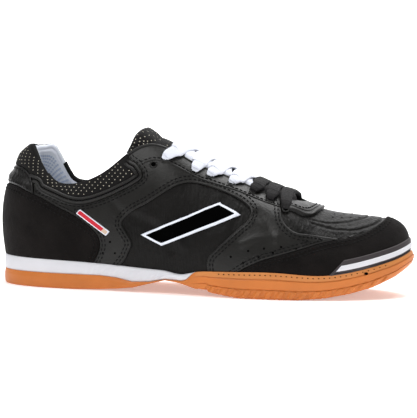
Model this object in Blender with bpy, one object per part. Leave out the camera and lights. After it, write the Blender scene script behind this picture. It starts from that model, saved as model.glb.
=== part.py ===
"""An indoor court shoe for the right foot, built as a maker would assemble it.

The toe points to +X, the outer (lateral) side faces -Y and +Z is up. The sole stands on Z = 0.
Every piece of the upper is cut from one surface, the last: a ring of sections that runs from the
heel along the lateral side to the toe and back along the medial side. Sizes are in metres. While
the shoe is built, X runs from the rearmost point of the last; at the end everything is moved so
that the middle of its outline stands on the origin.
"""

from collections import namedtuple

import bmesh
import bpy
import numpy as np

# Driving sizes of the shoe
LENGTH = 0.292
BALL_WIDTH = 0.094
HEEL_WIDTH = 0.066
HEEL_HEIGHT = 0.099
INSTEP_HEIGHT = 0.100
TOE_HEIGHT = 0.056
SOLE_EDGE = 0.0195
TOE_SPRING = 0.0150
WELL_DEPTH = 0.0075

# The sole
ARCH_RISE = 0.0088
TIP_RISE = 0.0240
RIM = 0.0028
GROOVE = 0.0009
TREAD_DEPTH = 0.0015
TREAD_WIDTH = 0.0016
TREAD_PITCH = 0.0078
TREAD_SLANT = 0.35
TREAD_REACH = 0.75
INSOLE = 0.0032

# Walls and clearances
GAP = 0.0003
SNAP = 0.00002
WALL = 0.0016
OVERLAY = 0.0010
STRIP = 0.0006
COLLAR_PAD = 0.0016
LINING_PAD = 0.0040
TONGUE = 0.0040
LACE_WIDTH = 0.0062
LACE = 0.0013

# Throat: shares of LENGTH where its straight sides end and where its round front ends
THROAT_ROUND_FROM = 0.675
THROAT_FRONT = 0.735

# How many facets: round the heel, along the side, round the toe and up the wall, for each half
HEEL_STEPS = 7
SIDE_STEPS = 11
TOE_STEPS = 8
RISE_STEPS = 9
ACROSS_STEPS = 6
TOWARDS_TOP = 1.2
LACE_STEPS = 9

# One row for each section of the last, from the middle of the heel to the middle of the toe.
#   along            where the section meets the sole edge, as a share of LENGTH
#   span, lat, med   the width that rules there, and half widths as shares of it
#   edge, spring     height of the sole edge, as shares of SOLE_EDGE and TOE_SPRING
#   well             how far the wall goes down inside the sole, as a share of WELL_DEPTH
#   top_along        where the section ends at the top, as a share of LENGTH
#   crest            how far the top line stands towards the big toe, as a share of BALL_WIDTH
#   half             half the opening there, as a share of span
#   size, top        the height that rules there, and the top as a share of it
#   swell, lift      lower handle: outwards as a share of BALL_WIDTH, up as a share of the rise
#   reach, drop      upper handle: outwards as a share of BALL_WIDTH, down as a share of the rise
Section = namedtuple(
    "Section",
    "along span lat med edge spring well top_along crest half size top swell lift reach drop",
)
HW, BW, HH, IH, TH = HEEL_WIDTH, BALL_WIDTH, HEEL_HEIGHT, INSTEP_HEIGHT, TOE_HEIGHT
SECTIONS = [
    Section(0.0155, HW, 0, 0, 1.05, 0, 0.90, 0.072, 0, 0, HH, 0.980, 0.046, 0.31, 0.244, 0.31),
    Section(0.0290, HW, 0.195, 0.195, 1.05, 0, 0.90, 0.077, 0, 0.130, HH, 0.975, 0.046, 0.31, 0.210, 0.31),
    Section(0.0660, HW, 0.355, 0.355, 1.04, 0, 0.90, 0.100, 0, 0.270, HH, 0.919, 0.046, 0.31, 0.160, 0.31),
    Section(0.1350, HW, 0.470, 0.465, 1.02, 0, 0.87, 0.143, 0, 0.390, HH, 0.762, 0.045, 0.31, 0.110, 0.31),
    Section(0.2260, HW, 0.505, 0.485, 0.98, 0, 0.77, 0.212, 0, 0.455, HH, 0.733, 0.040, 0.32, 0.100, 0.30),
    Section(0.3200, HW, 0.520, 0.450, 0.90, 0, 0.70, 0.292, 0, 0.445, HH, 0.855, 0.030, 0.34, 0.120, 0.28),
    Section(0.4100, BW, 0.400, 0.310, 0.83, 0, 0.65, 0.378, 0, 0.245, IH, 1.006, 0.020, 0.36, 0.190, 0.25),
    Section(0.4500, BW, 0.425, 0.335, 0.835, 0, 0.70, 0.425, 0, 0.240, IH, 0.970, 0.021, 0.36, 0.190, 0.22),
    Section(0.5050, BW, 0.455, 0.370, 0.86, 0, 0.80, 0.475, 0, 0.232, IH, 0.889, 0.022, 0.36, 0.190, 0.20),
    Section(0.6050, BW, 0.497, 0.450, 0.91, 0, 1.05, 0.565, 0.01, 0.218, IH, 0.786, 0.026, 0.38, 0.190, 0.14),
    Section(0.7000, BW, 0.490, 0.503, 0.92, 0, 1.08, 0.655, 0.02, 0.212, IH, 0.679, 0.030, 0.40, 0.200, 0.10),
    Section(0.7850, BW, 0.435, 0.503, 0.85, 0, 0.93, 0.735, 0.03, 0.190, TH, 1.105, 0.030, 0.42, 0.250, 0.05),
    Section(0.8570, BW, 0.340, 0.455, 0.85, 0.17, 0.93, 0.795, 0.05, 0.180, TH, 1.027, 0.030, 0.44, 0.235, 0.03),
    Section(0.9180, BW, 0.215, 0.375, 0.85, 0.48, 0.93, 0.845, 0.07, 0.180, TH, 0.993, 0.025, 0.46, 0.220, 0.01),
    Section(0.9600, BW, 0.070, 0.270, 0.85, 0.77, 0.93, 0.880, 0.085, 0.180, TH, 0.975, 0.018, 0.53, 0.215, 0.01),
    Section(0.9790, BW, -0.106, 0.106, 0.85, 0.99, 0.93, 0.895, 0.09, 0.180, TH, 0.964, 0.014, 0.60, 0.220, 0),
]
HEEL_ROW = 3
FRONT_ROW = 11

# One row for each place along the sole.
#   along        share of LENGTH
#   arch, tip    height of the underside, as shares of ARCH_RISE and TIP_RISE
#   join         where the white midsole meets the rubber, as a share of SOLE_EDGE
#   proud        how far the sole stands out of the last's edge, as a share of RIM
#   band         1 where the rubber's side has its grooves, 0 where it is plain
SoleRow = namedtuple("SoleRow", "along arch tip join proud band")
SOLE_ROWS = [
    SoleRow(0.000, 0.00, 0.00, 0.533, 0.55, 0.0),
    SoleRow(0.210, 0.00, 0.00, 0.533, 0.80, 0.0),
    SoleRow(0.270, 0.09, 0.00, 0.530, 0.90, 0.0),
    SoleRow(0.310, 0.18, 0.00, 0.480, 0.95, 0.0),
    SoleRow(0.350, 0.33, 0.00, 0.359, 0.95, 0.0),
    SoleRow(0.392, 0.72, 0.00, 0.395, 1.00, 0.0),
    SoleRow(0.430, 1.06, 0.00, 0.512, 1.00, 0.0),
    SoleRow(0.455, 0.96, 0.00, 0.510, 1.00, 0.0),
    SoleRow(0.472, 0.84, 0.00, 0.500, 1.00, 0.0),
    SoleRow(0.487, 0.68, 0.00, 0.580, 1.00, 0.0),
    SoleRow(0.503, 0.54, 0.00, 0.740, 1.00, 0.3),
    SoleRow(0.530, 0.53, 0.00, 0.720, 1.00, 1.0),
    SoleRow(0.536, 0.33, 0.00, 0.720, 1.00, 1.0),
    SoleRow(0.577, 0.12, 0.00, 0.720, 1.00, 1.0),
    SoleRow(0.607, 0.00, 0.00, 0.720, 1.00, 1.0),
    SoleRow(0.740, 0.00, 0.00, 0.720, 1.00, 1.0),
    SoleRow(0.800, 0.00, 0.06, 0.720, 1.05, 1.0),
    SoleRow(0.855, 0.00, 0.18, 0.720, 1.15, 1.0),
    SoleRow(0.906, 0.00, 0.35, 0.720, 1.30, 1.0),
    SoleRow(0.955, 0.00, 0.62, 0.720, 1.50, 1.0),
    SoleRow(1.000, 0.00, 1.00, 0.720, 1.70, 1.0),
]
# Shares of LENGTH where the midsole's plate, the whole wedge and the flat arch end, and how far
# behind each the next shape starts
PLATE_END = 0.400
WEDGE_END = 0.503
STEP_AT = 0.530
SOLE_JUMP = 0.006

# Zones with tread slots: shares of LENGTH where each begins and ends, and its pitch as a share of
# TREAD_PITCH
TreadZone = namedtuple("TreadZone", "begins ends pitch")
TREAD_ZONES = [TreadZone(0.070, 0.180, 1.4), TreadZone(0.625, 0.860, 1.0)]

# The side of the rubber from its bottom to its top: share of the height, and how far each line
# stands out, as a share of RIM everywhere and as a share of GROOVE where the side is banded
SideLine = namedtuple("SideLine", "height rim groove")
SIDE_LINES = [
    SideLine(0.00, 0.25, 0.0),
    SideLine(0.10, 0.78, 0.0),
    SideLine(0.33, 0.96, 0.0),
    SideLine(0.36, 0.97, -1.0),
    SideLine(0.39, 1.00, 0.2),
    SideLine(0.71, 1.00, 0.2),
    SideLine(0.74, 0.96, -1.0),
    SideLine(0.77, 0.92, 0.0),
    SideLine(1.00, 0.72, 0.0),
]

# Outlines of the overlays seen from the side: shares of LENGTH and INSTEP_HEIGHT
COUNTER = [
    (-0.060, 0.710), (0.000, 0.708), (0.052, 0.691), (0.084, 0.657), (0.121, 0.620),
    (0.162, 0.564), (0.202, 0.513), (0.236, 0.454), (0.262, 0.385), (0.270, 0.319),
    (0.266, 0.260), (0.255, 0.190), (0.240, 0.050), (-0.060, 0.050),
]
HEEL_TAB = [
    (-0.060, 0.830), (0.030, 0.825), (0.062, 0.818), (0.084, 0.785), (0.097, 0.730),
    (0.103, 0.655), (0.100, 0.560), (0.060, 0.500), (-0.060, 0.500),
]
COLLAR = [
    (-0.060, 0.760), (0.050, 0.740), (0.105, 0.716), (0.119, 0.672), (0.155, 0.629),
    (0.189, 0.596), (0.221, 0.588), (0.253, 0.609), (0.284, 0.644), (0.316, 0.689),
    (0.347, 0.738), (0.366, 0.790), (0.350, 0.860), (0.325, 0.930), (0.300, 1.300),
    (-0.060, 1.300),
]
QUARTER = [
    (0.080, 0.050), (0.860, 0.050), (0.872, 0.400), (0.830, 0.404), (0.795, 0.413),
    (0.762, 0.428), (0.731, 0.445), (0.711, 0.479), (0.699, 0.518), (0.693, 0.566),
    (0.688, 0.619), (0.680, 0.670), (0.655, 0.800), (0.550, 1.000), (0.400, 1.250),
    (0.250, 1.100), (0.080, 0.700),
]
WINDOW = [
    (0.312, 0.060), (0.334, 0.244), (0.345, 0.332), (0.332, 0.402), (0.320, 0.470),
    (0.341, 0.545), (0.381, 0.612), (0.416, 0.680), (0.447, 0.735), (0.475, 0.757),
    (0.504, 0.747), (0.539, 0.719), (0.573, 0.683), (0.603, 0.640), (0.624, 0.585),
    (0.621, 0.520), (0.601, 0.463), (0.579, 0.401), (0.553, 0.326), (0.532, 0.250),
    (0.512, 0.060),
]
MUDGUARD = [
    (0.585, 0.100), (0.608, 0.182), (0.646, 0.244), (0.679, 0.279), (0.726, 0.322),
    (0.773, 0.364), (0.819, 0.396), (0.854, 0.415), (0.885, 0.447), (0.910, 0.490),
    (0.926, 0.530), (0.940, 0.620), (1.060, 0.700), (1.060, 0.060), (0.700, 0.030),
]
TOE_STRIP = [
    (0.800, 0.080), (0.820, 0.205), (0.838, 0.258), (0.870, 0.292), (0.895, 0.340),
    (0.930, 0.700), (1.100, 0.700), (1.100, 0.050),
]
STRIP_HEIGHT = 0.0100
SIDE_LABEL = [(0.211, 0.521), (0.2205, 0.553), (0.294, 0.408), (0.2845, 0.375)]

# Outline of the tab round the throat's front, seen from above: shares of LENGTH and BALL_WIDTH
THROAT_TAB = [
    (0.640, 0.330), (0.690, 0.375), (0.716, 0.370), (0.742, 0.325), (0.762, 0.240),
    (0.776, 0.130), (0.781, 0.030), (0.776, -0.070), (0.762, -0.180), (0.742, -0.265),
    (0.716, -0.310), (0.690, -0.315), (0.640, -0.270),
]

# The tongue behind the top of the throat. Its middle goes back and up, by shares of LENGTH and
# INSTEP_HEIGHT, its arch leans back by an angle, and its width is a share of the throat's
TongueRow = namedtuple("TongueRow", "back up lean width")
TONGUE_FREE = [
    TongueRow(0.010, 0.040, 0.15, 1.00),
    TongueRow(0.022, 0.068, 0.45, 1.08),
    TongueRow(0.034, 0.084, 0.80, 1.22),
]
TONGUE_TOP = 0.388
TONGUE_UNDER = 0.92
TONGUE_PUFF = 0.18

# Lace rows: where each stands on the top line, as a share of LENGTH. A bar ends at EYELET_DOWN up
# the wall, and the bars that run the other way are narrower and thinner by SECOND_WAY
WHITE_ROWS = [0.408, 0.472, 0.522, 0.576]
BLACK_ROWS = [0.612, 0.650, 0.688]
EYELET_DOWN = 0.85
SECOND_WAY = 0.85


def srgb(red, green, blue):
    """A linear colour from the usual 0 to 255 values."""
    share = np.array([red, green, blue]) / 255
    linear = np.where(share <= 0.04045, share / 12.92, ((share + 0.055) / 1.055) ** 2.4)
    return (*linear, 1.0)


def material(name, colour, roughness, sheen=0.0):
    mat = bpy.data.materials.new(name)
    mat.use_nodes = True
    shader = mat.node_tree.nodes["Principled BSDF"]
    shader.inputs["Base Color"].default_value = colour
    shader.inputs["Roughness"].default_value = roughness
    shader.inputs["Metallic"].default_value = 0.0
    shader.inputs["Sheen Weight"].default_value = sheen
    return mat


def ring_spline(times, values, period):
    """A smooth closed curve through values at times, as a function of time."""
    count = len(times)
    steps = np.diff(np.append(times, times[0] + period))
    system = np.zeros((count, count))
    right = np.zeros((count, values.shape[1]))
    for i in range(count):
        before, after = i - 1, (i + 1) % count
        system[i, before] += steps[before]
        system[i, i] += 2 * (steps[before] + steps[i])
        system[i, after] += steps[i]
        right[i] = 6 * (
            (values[after] - values[i]) / steps[i]
            - (values[i] - values[before]) / steps[before]
        )
    bend = np.linalg.solve(system, right)

    def at(time):
        time = np.mod(np.asarray(time, float) - times[0], period) + times[0]
        i = np.clip(np.searchsorted(times, time, side="right") - 1, 0, count - 1)
        j = (i + 1) % count
        step = steps[i][..., None]
        b = (time - times[i])[..., None] / step
        a = 1 - b
        curve = a * values[i] + b * values[j]
        return curve + step**2 / 6 * ((a**3 - a) * bend[i] + (b**3 - b) * bend[j])

    return at


def section_values(row, side):
    """The numbers of one section in metres, for side -1 (lateral) or +1 (medial)."""
    width = row.lat if side < 0 else row.med
    foot_z = row.edge * SOLE_EDGE + row.spring * TOE_SPRING
    top_z = row.top * row.size
    rise = top_z - foot_z
    return [
        row.along * LENGTH,
        side * width * row.span,
        foot_z,
        row.top_along * LENGTH,
        row.crest * BALL_WIDTH,
        side * row.half * row.span,
        top_z,
        row.swell * BALL_WIDTH,
        row.lift * rise,
        row.reach * BALL_WIDTH,
        row.drop * rise,
        row.well * WELL_DEPTH,
    ]


def last_ring():
    """The closed spline through the sections: time 0 is the heel, 1 the toe, 2 the heel again."""
    lateral = np.array([section_values(row, -1) for row in SECTIONS])
    medial = np.array([section_values(row, 1) for row in SECTIONS])
    chords = [
        np.linalg.norm(np.diff(half[:, :2], axis=0), axis=1) for half in (lateral, medial)
    ]
    share = np.append(0.0, np.cumsum(np.mean(chords, axis=0)))
    share /= share[-1]
    times = np.concatenate([share, 2 - share[-2:0:-1]])
    values = np.concatenate([lateral, medial[-2:0:-1]])
    return ring_spline(times, values, 2.0), share


RING, SECTION_TIMES = last_ring()


def unit(vectors):
    return vectors / np.maximum(np.linalg.norm(vectors, axis=-1, keepdims=True), 1e-12)


def throat_closing(along):
    """1 where the throat's sides are straight, falling to 0 at its round front."""
    share = (along / LENGTH - THROAT_ROUND_FROM) / (THROAT_FRONT - THROAT_ROUND_FROM)
    share = np.where(share > 0.999, 1.0, np.clip(share, 0, 1))
    return np.sqrt(1 - share**2)


def edge_outward(u):
    """The direction that points straight out of the sole edge, level with the floor."""
    eps = 1e-3
    tangent = RING(u + eps)[..., :2] - RING(u - eps)[..., :2]
    level = np.zeros(np.shape(tangent[..., 0]))
    return unit(np.stack([tangent[..., 1], -tangent[..., 0], level], axis=-1))


def last_surface(u, v):
    """Points of the last: u runs round the ring, v from 0 at the sole edge to 1 at the top."""
    u, v = np.broadcast_arrays(np.asarray(u, float), np.asarray(v, float))
    ring = RING(u)
    foot = ring[..., 0:3]
    side_y = ring[..., 5] * throat_closing(ring[..., 3])
    top = np.stack([ring[..., 3], ring[..., 4] + side_y, ring[..., 6]], axis=-1)
    up = np.array([0.0, 0.0, 1.0])
    level = (foot - top) * np.array([1.0, 1.0, 0.0])
    low = foot + edge_outward(u) * ring[..., 7:8] + up * ring[..., 8:9]
    high = top + unit(level) * ring[..., 9:10] - up * ring[..., 10:11]
    b = np.clip(v, 0, 1)[..., None]
    a = 1 - b
    curve = a**3 * foot + 3 * a**2 * b * low + 3 * a * b**2 * high + b**3 * top
    return curve + up * np.minimum(v, 0)[..., None] * ring[..., 11:12]


def last_normal(u, v):
    """Outward normals of the last."""
    eps = 1e-3
    v = np.clip(v, eps, 0.985)
    along = last_surface(u + eps, v) - last_surface(u - eps, v)
    upward = last_surface(u, v + eps) - last_surface(u, v - eps)
    return unit(np.cross(along, upward))


def off_last(u, v, offset):
    offset = np.asarray(offset, float)[..., None]
    return last_surface(u, v) + last_normal(u, v) * offset


def time_where(column, share):
    """The lateral ring time at which a column of the ring reaches a share of LENGTH."""
    times = np.linspace(0, 1, 4001)
    return float(np.interp(share * LENGTH, RING(times)[:, column], times))


FOOT_X, TOP_X = 0, 3


def half_ring():
    """Ring times from heel to toe, with stations where the parts of the sole end."""
    heel = np.linspace(0, SECTION_TIMES[HEEL_ROW], HEEL_STEPS + 1)
    side = np.linspace(heel[-1], time_where(TOP_X, THROAT_ROUND_FROM), SIDE_STEPS + 1)
    shares = THROAT_ROUND_FROM + (THROAT_FRONT - THROAT_ROUND_FROM) * np.array([0.55, 0.88, 1.0])
    front = [time_where(TOP_X, share) for share in shares]
    toe = np.linspace(max(front[-1], SECTION_TIMES[FRONT_ROW]), 1, TOE_STEPS + 1)
    ends = []
    for share in (PLATE_END, WEDGE_END, STEP_AT):
        ends += [time_where(FOOT_X, share), time_where(FOOT_X, share + SOLE_JUMP)]
    side = [time for time in side if min(abs(time - end) for end in ends) > 2 * SOLE_JUMP]
    return np.concatenate([heel[:-1], sorted(side + ends), front, toe[1:]])


def full_ring(half):
    return np.concatenate([half, 2 - half[-2:0:-1]])


HALF_TIMES = half_ring()
RING_TIMES = full_ring(HALF_TIMES)
RISES = 1 - np.linspace(1, 0, RISE_STEPS + 1) ** TOWARDS_TOP


def add_object(name, verts, faces, mat, smooth=True):
    """A mesh object whose faces all point outwards."""
    bm = bmesh.new()
    made = [bm.verts.new(vert) for vert in verts]
    for face in faces:
        bm.faces.new([made[i] for i in face])
    bmesh.ops.remove_doubles(bm, verts=bm.verts, dist=1e-7)
    bmesh.ops.recalc_face_normals(bm, faces=bm.faces)
    mesh = bpy.data.meshes.new(name)
    bm.to_mesh(mesh)
    bm.free()
    if smooth:
        mesh.shade_smooth()
        mesh.set_sharp_from_angle(angle=0.9)
    mesh.materials.append(mat)
    obj = bpy.data.objects.new(name, mesh)
    bpy.context.scene.collection.objects.link(obj)
    return obj


def smooth_outline(marks, steps=8):
    """A closed curve through the marks, as points."""
    marks = np.array(marks)
    share = np.arange(steps)[:, None] / steps
    points = []
    for i in range(len(marks)):
        p0, p1, p2, p3 = (marks[(i + k) % len(marks)] for k in (-1, 0, 1, 2))
        points.append(
            p1
            + share * (p2 - p0) / 2
            + share**2 * (2 * p0 - 5 * p1 + 4 * p2 - p3) / 2
            + share**3 * (3 * p1 - p0 - 3 * p2 + p3) / 2
        )
    return np.concatenate(points)


def outline_distance(points, outline):
    """Distance in the plane from each point to a closed outline, negative inside it."""
    best = np.full(len(points), np.inf)
    inside = np.zeros(len(points), bool)
    for a, b in zip(outline, np.roll(outline, -1, axis=0)):
        line = b - a
        share = np.clip((points - a) @ line / (line @ line), 0, 1)
        best = np.minimum(best, np.linalg.norm(points - a - share[:, None] * line, axis=1))
        if a[1] != b[1]:
            crosses = (a[1] > points[:, 1]) != (b[1] > points[:, 1])
            at = a[0] + (points[:, 1] - a[1]) / (b[1] - a[1]) * line[0]
            inside ^= crosses & (points[:, 0] < at)
    return np.where(inside, -best, best)


def label_fields(side):
    """Distances to the four straight sides of the label, negative inside each."""
    corners = np.array(SIDE_LABEL) * [LENGTH, INSTEP_HEIGHT]
    middle = corners.mean(axis=0)
    found = {}
    for i, (a, b) in enumerate(zip(corners, np.roll(corners, -1, axis=0))):
        outward = unit(np.array([b[1] - a[1], a[0] - b[0]]))
        outward *= np.sign((a - middle) @ outward)
        found[f"label{i}"] = (side - a) @ outward
    return found


def skin_fields(points, edge_z):
    """Values at each point of the last that are negative inside each outline."""
    side = points[:, [0, 2]]
    fields = {"over_edge": points[:, 2] - edge_z}
    for name, marks in (
        ("counter", COUNTER),
        ("tab", HEEL_TAB),
        ("collar", COLLAR),
        ("quarter", QUARTER),
        ("window", WINDOW),
        ("mudguard", MUDGUARD),
        ("strip_start", TOE_STRIP),
    ):
        outline = smooth_outline(np.array(marks) * [LENGTH, INSTEP_HEIGHT])
        fields[name] = outline_distance(side, outline)
    outline = smooth_outline(np.array(THROAT_TAB) * [LENGTH, BALL_WIDTH])
    fields["throat_tab"] = outline_distance(points[:, :2], outline)
    fields.update(label_fields(side))
    return fields


def ring_triangles(i, k, columns):
    """Triangles between two neighbouring stations of the ring, mirrored on the medial side."""
    faces = []
    for j in range(columns - 1):
        a, b = i * columns + j, k * columns + j
        if RING_TIMES[i] < 1:
            faces += [(a, b, b + 1), (a, b + 1, a + 1)]
        else:
            faces += [(a, b, a + 1), (b, b + 1, a + 1)]
    return faces


# A piece of the last as triangles, with a value at each point for each outline
Skin = namedtuple("Skin", "points normals fields faces")


def last_skin():
    """The whole last as one welded skin, the place of each grid point in it, and field names."""
    rows, columns = len(RING_TIMES), len(RISES)
    u, v = np.meshgrid(RING_TIMES, RISES, indexing="ij")
    points = last_surface(u, v).reshape(-1, 3)
    keys = {}
    place = np.array([keys.setdefault(tuple(p), len(keys)) for p in np.round(points, 6)])
    first = np.unique(place, return_index=True)[1]
    faces = []
    for i in range(rows):
        faces += ring_triangles(i, (i + 1) % rows, columns)
    faces = place[np.array(faces)]
    corner = points[first][faces]
    area = np.cross(corner[:, 1] - corner[:, 0], corner[:, 2] - corner[:, 0])
    normals = np.zeros((len(first), 3))
    for k in range(3):
        np.add.at(normals, faces[:, k], area)
    points = points[first]
    fields = skin_fields(points, RING(u.reshape(-1)[first])[:, 2])
    table = np.stack(list(fields.values()), axis=1)
    return Skin(points, unit(normals), table, faces), place.reshape(rows, columns), list(fields)


SKIN, SKIN_PLACE, FIELD_NAMES = last_skin()


def used_part(points, normals, fields, faces):
    used, place = np.unique(np.array(faces), return_inverse=True)
    parts = [np.array(part)[used] for part in (points, normals, fields)]
    return Skin(*parts, place.reshape(-1, 3))


def cut(skin, values):
    """The part of the skin where values, given for each point, are negative."""
    levels = list(np.where(abs(values) < SNAP, 0.0, values))
    points, normals, fields = (list(part) for part in skin[:3])
    crossed = {}

    def crossing(a, b):
        key = (min(a, b), max(a, b))
        if key not in crossed:
            share = levels[key[0]] / (levels[key[0]] - levels[key[1]])
            for part in (points, normals, fields):
                part.append(part[key[0]] * (1 - share) + part[key[1]] * share)
            levels.append(0.0)
            crossed[key] = len(points) - 1
        return crossed[key]

    faces = []
    for face in skin.faces:
        if all(levels[i] >= 0 for i in face):
            continue
        corners = []
        for a, b in zip(face, np.roll(face, -1)):
            if levels[a] <= 0:
                corners.append(a)
            if levels[a] * levels[b] < 0:
                corners.append(crossing(a, b))
        faces += [(corners[0], corners[i], corners[i + 1]) for i in range(1, len(corners) - 1)]
    return used_part(points, normals, fields, faces)


def cut_to(skin, **limits):
    """Keeps what is below or over a limit of each named field."""
    for name, (side, limit) in limits.items():
        values = skin.fields[:, FIELD_NAMES.index(name)] - limit
        skin = cut(skin, values if side == "below" else -values)
    return skin


def half_skin(skin, side):
    """The triangles on the lateral (-1) or medial (1) side of the shoe."""
    y = skin.points[skin.faces].mean(axis=1)[:, 1]
    return used_part(*skin[:3], skin.faces[y * side > 0])


def largest_piece(skin):
    """The piece of the skin with the most triangles that share edges."""
    sides = np.concatenate([skin.faces[:, [0, 1]], skin.faces[:, [1, 2]], skin.faces[:, [2, 0]]])
    edge = np.unique(np.sort(sides, axis=1), axis=0, return_inverse=True)[1].reshape(3, -1)
    label = np.arange(len(skin.faces))
    while True:
        lowest = np.full(edge.max() + 1, len(skin.faces))
        for k in range(3):
            np.minimum.at(lowest, edge[k], label)
        spread = lowest[edge].min(axis=0)
        if (spread == label).all():
            break
        label = spread
    most = np.bincount(label).argmax()
    return used_part(*skin[:3], skin.faces[label == most])


def shell(name, skin, inner, outer, mat):
    """A closed solid between two offsets of a piece of skin."""
    skin = largest_piece(skin)
    count = len(skin.points)
    verts = np.concatenate(
        [skin.points + skin.normals * outer, skin.points + skin.normals * inner]
    )
    faces = [tuple(face) for face in skin.faces]
    faces += [tuple(i + count for i in reversed(face)) for face in faces]
    edges = {}
    for face in skin.faces:
        for a, b in zip(face, np.roll(face, -1)):
            key = (min(a, b), max(a, b))
            edges[key] = None if key in edges else (a, b)
    faces += [(b, a, a + count, b + count) for a, b in filter(None, edges.values())]
    return add_object(name, verts, faces, mat)


def build_upper(mat):
    """The leather shell, with its skirt inside the sole, open at the collar, throat and foot."""
    rows, columns = len(RING_TIMES), len(RISES) + 1
    skirt = last_surface(RING_TIMES, -1)
    points = np.concatenate([skirt[:, None], SKIN.points[SKIN_PLACE]], axis=1)
    outward = edge_outward(RING_TIMES)
    normals = np.concatenate([outward[:, None], SKIN.normals[SKIN_PLACE]], axis=1)
    inner = points - normals * WALL
    verts = np.concatenate([points.reshape(-1, 3), inner.reshape(-1, 3)])
    size = rows * columns
    closed_from = 1 - time_where(TOP_X, THROAT_FRONT) + 1e-6
    faces = []
    for i in range(rows):
        k = (i + 1) % rows
        outer_faces = ring_triangles(i, k, columns)
        faces += outer_faces
        faces += [tuple(x + size for x in reversed(face)) for face in outer_faces]
        a, b = i * columns, k * columns
        faces.append((b, a, a + size, b + size))
        if max(abs(RING_TIMES[i] - 1), abs(RING_TIMES[k] - 1)) > closed_from:
            a, b = a + columns - 1, b + columns - 1
            faces.append((a, b, b + size, a + size))
    add_object("upper", verts, faces, mat)


def build_overlays(mats):
    """The overlays of the upper, each a shell cut from the last between its seams."""
    low, high = GAP, GAP + OVERLAY
    seat = {"over_edge": ("over", 2 * GAP)}
    counter = cut_to(SKIN, counter=("below", 0), **seat)
    shell("heel_counter", counter, low, high, mats["suede"])
    tab = cut_to(SKIN, tab=("below", 0), counter=("over", GAP))
    shell("heel_tab", tab, low, high, mats["gloss"])
    collar = cut_to(SKIN, collar=("below", 0), counter=("over", GAP), tab=("over", GAP))
    shell("collar", collar, low, low + COLLAR_PAD, mats["mesh"])
    guard = cut_to(SKIN, mudguard=("below", 0), **seat)
    shell("mudguard", guard, low, high, mats["suede"])
    around = {"counter": ("over", GAP), "mudguard": ("over", GAP), "collar": ("over", GAP)}
    quarter = cut_to(
        SKIN, quarter=("below", 0), window=("over", 0), tab=("over", GAP), **around, **seat
    )
    shell("quarter_lateral", half_skin(quarter, -1), low, high, mats["leather"])
    shell("quarter_medial", half_skin(quarter, 1), low, high, mats["leather"])
    tab = cut_to(SKIN, throat_tab=("below", 0), quarter=("over", GAP), mudguard=("over", GAP))
    shell("throat_tab", tab, low, high, mats["leather"])
    strip = cut_to(SKIN, strip_start=("below", 0), over_edge=("over", 4 * GAP))
    strip = cut_to(strip, over_edge=("below", STRIP_HEIGHT))
    shell("toe_strip", strip, high + GAP, high + GAP + STRIP, mats["rubber"])
    label = {f"label{i}": ("below", 0) for i in range(4)}
    label = half_skin(cut_to(SKIN, **label), -1)
    shell("side_label", label, high + GAP, high + 2 * GAP, mats["label"])


def block(name, outer, inner, mat):
    """A closed solid between two grids of the same shape."""
    rows, columns = outer.shape[:2]
    size = rows * columns
    verts = np.concatenate([outer.reshape(-1, 3), inner.reshape(-1, 3)])
    faces = []
    for i in range(rows - 1):
        for j in range(columns - 1):
            a, b = i * columns + j, (i + 1) * columns + j
            faces.append((a, b, b + 1, a + 1))
            faces.append((a + 1 + size, b + 1 + size, b + size, a + size))
        for j in (0, columns - 1):
            a, b = i * columns + j, (i + 1) * columns + j
            faces.append((a, b, b + size, a + size))
    for i in (0, rows - 1):
        for j in range(columns - 1):
            a = i * columns + j
            faces.append((a, a + 1, a + 1 + size, a + size))
    return add_object(name, verts, faces, mat)


def build_lining(mat):
    """The padding inside the collar, thickest just below its top."""
    front = time_where(TOP_X, 0.33)
    times = RING_TIMES[abs(RING_TIMES - 1) >= 1 - front]
    times = np.concatenate([times[times > 1], times[times < 1] + 2])
    shares = np.array([0.50, 0.66, 0.84, 1.0])
    pad = np.array([0.15, 0.60, 1.0, 0.50]) * LINING_PAD
    u, v = np.meshgrid(times, shares, indexing="ij")
    depth = np.full(u.shape, -(WALL + 2 * GAP))
    block("collar_lining", off_last(u, v, depth), off_last(u, v, depth - pad), mat)


def across(u, t, offset, puff):
    """Points of an arch over the throat: t is 0 at the lateral edge and 1 at the medial one."""
    ends, ways = [], []
    for time in (u, 2 - u):
        ends.append(off_last(time, np.ones(u.shape), offset * np.ones(u.shape)))
        ways.append(unit(last_surface(time, 1.0) - last_surface(time, 0.97)))
    span = np.linalg.norm(ends[1] - ends[0], axis=-1, keepdims=True) * puff
    b = np.clip(t, 0, 1)[..., None]
    a = 1 - b
    low, high = ends[0] + ways[0] * span, ends[1] + ways[1] * span
    return a**3 * ends[0] + 3 * a**2 * b * low + 3 * a * b**2 * high + b**3 * ends[1]


def bridge(u, t, offset, puff, under):
    """The arch over the throat, continued down both walls for t from 0 to -1 and from 1 to 2."""
    u, t = np.broadcast_arrays(np.asarray(u, float), np.asarray(t, float))
    points = across(u, t, offset, puff)
    depth = np.clip(np.maximum(-t, t - 1), 0, 1)
    for side, time in ((t < 0, u), (t > 1, 2 - u)):
        wall = off_last(time, 1 - depth * (1 - under), offset * np.ones(u.shape))
        points = np.where(side[..., None], wall, points)
    return points


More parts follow.
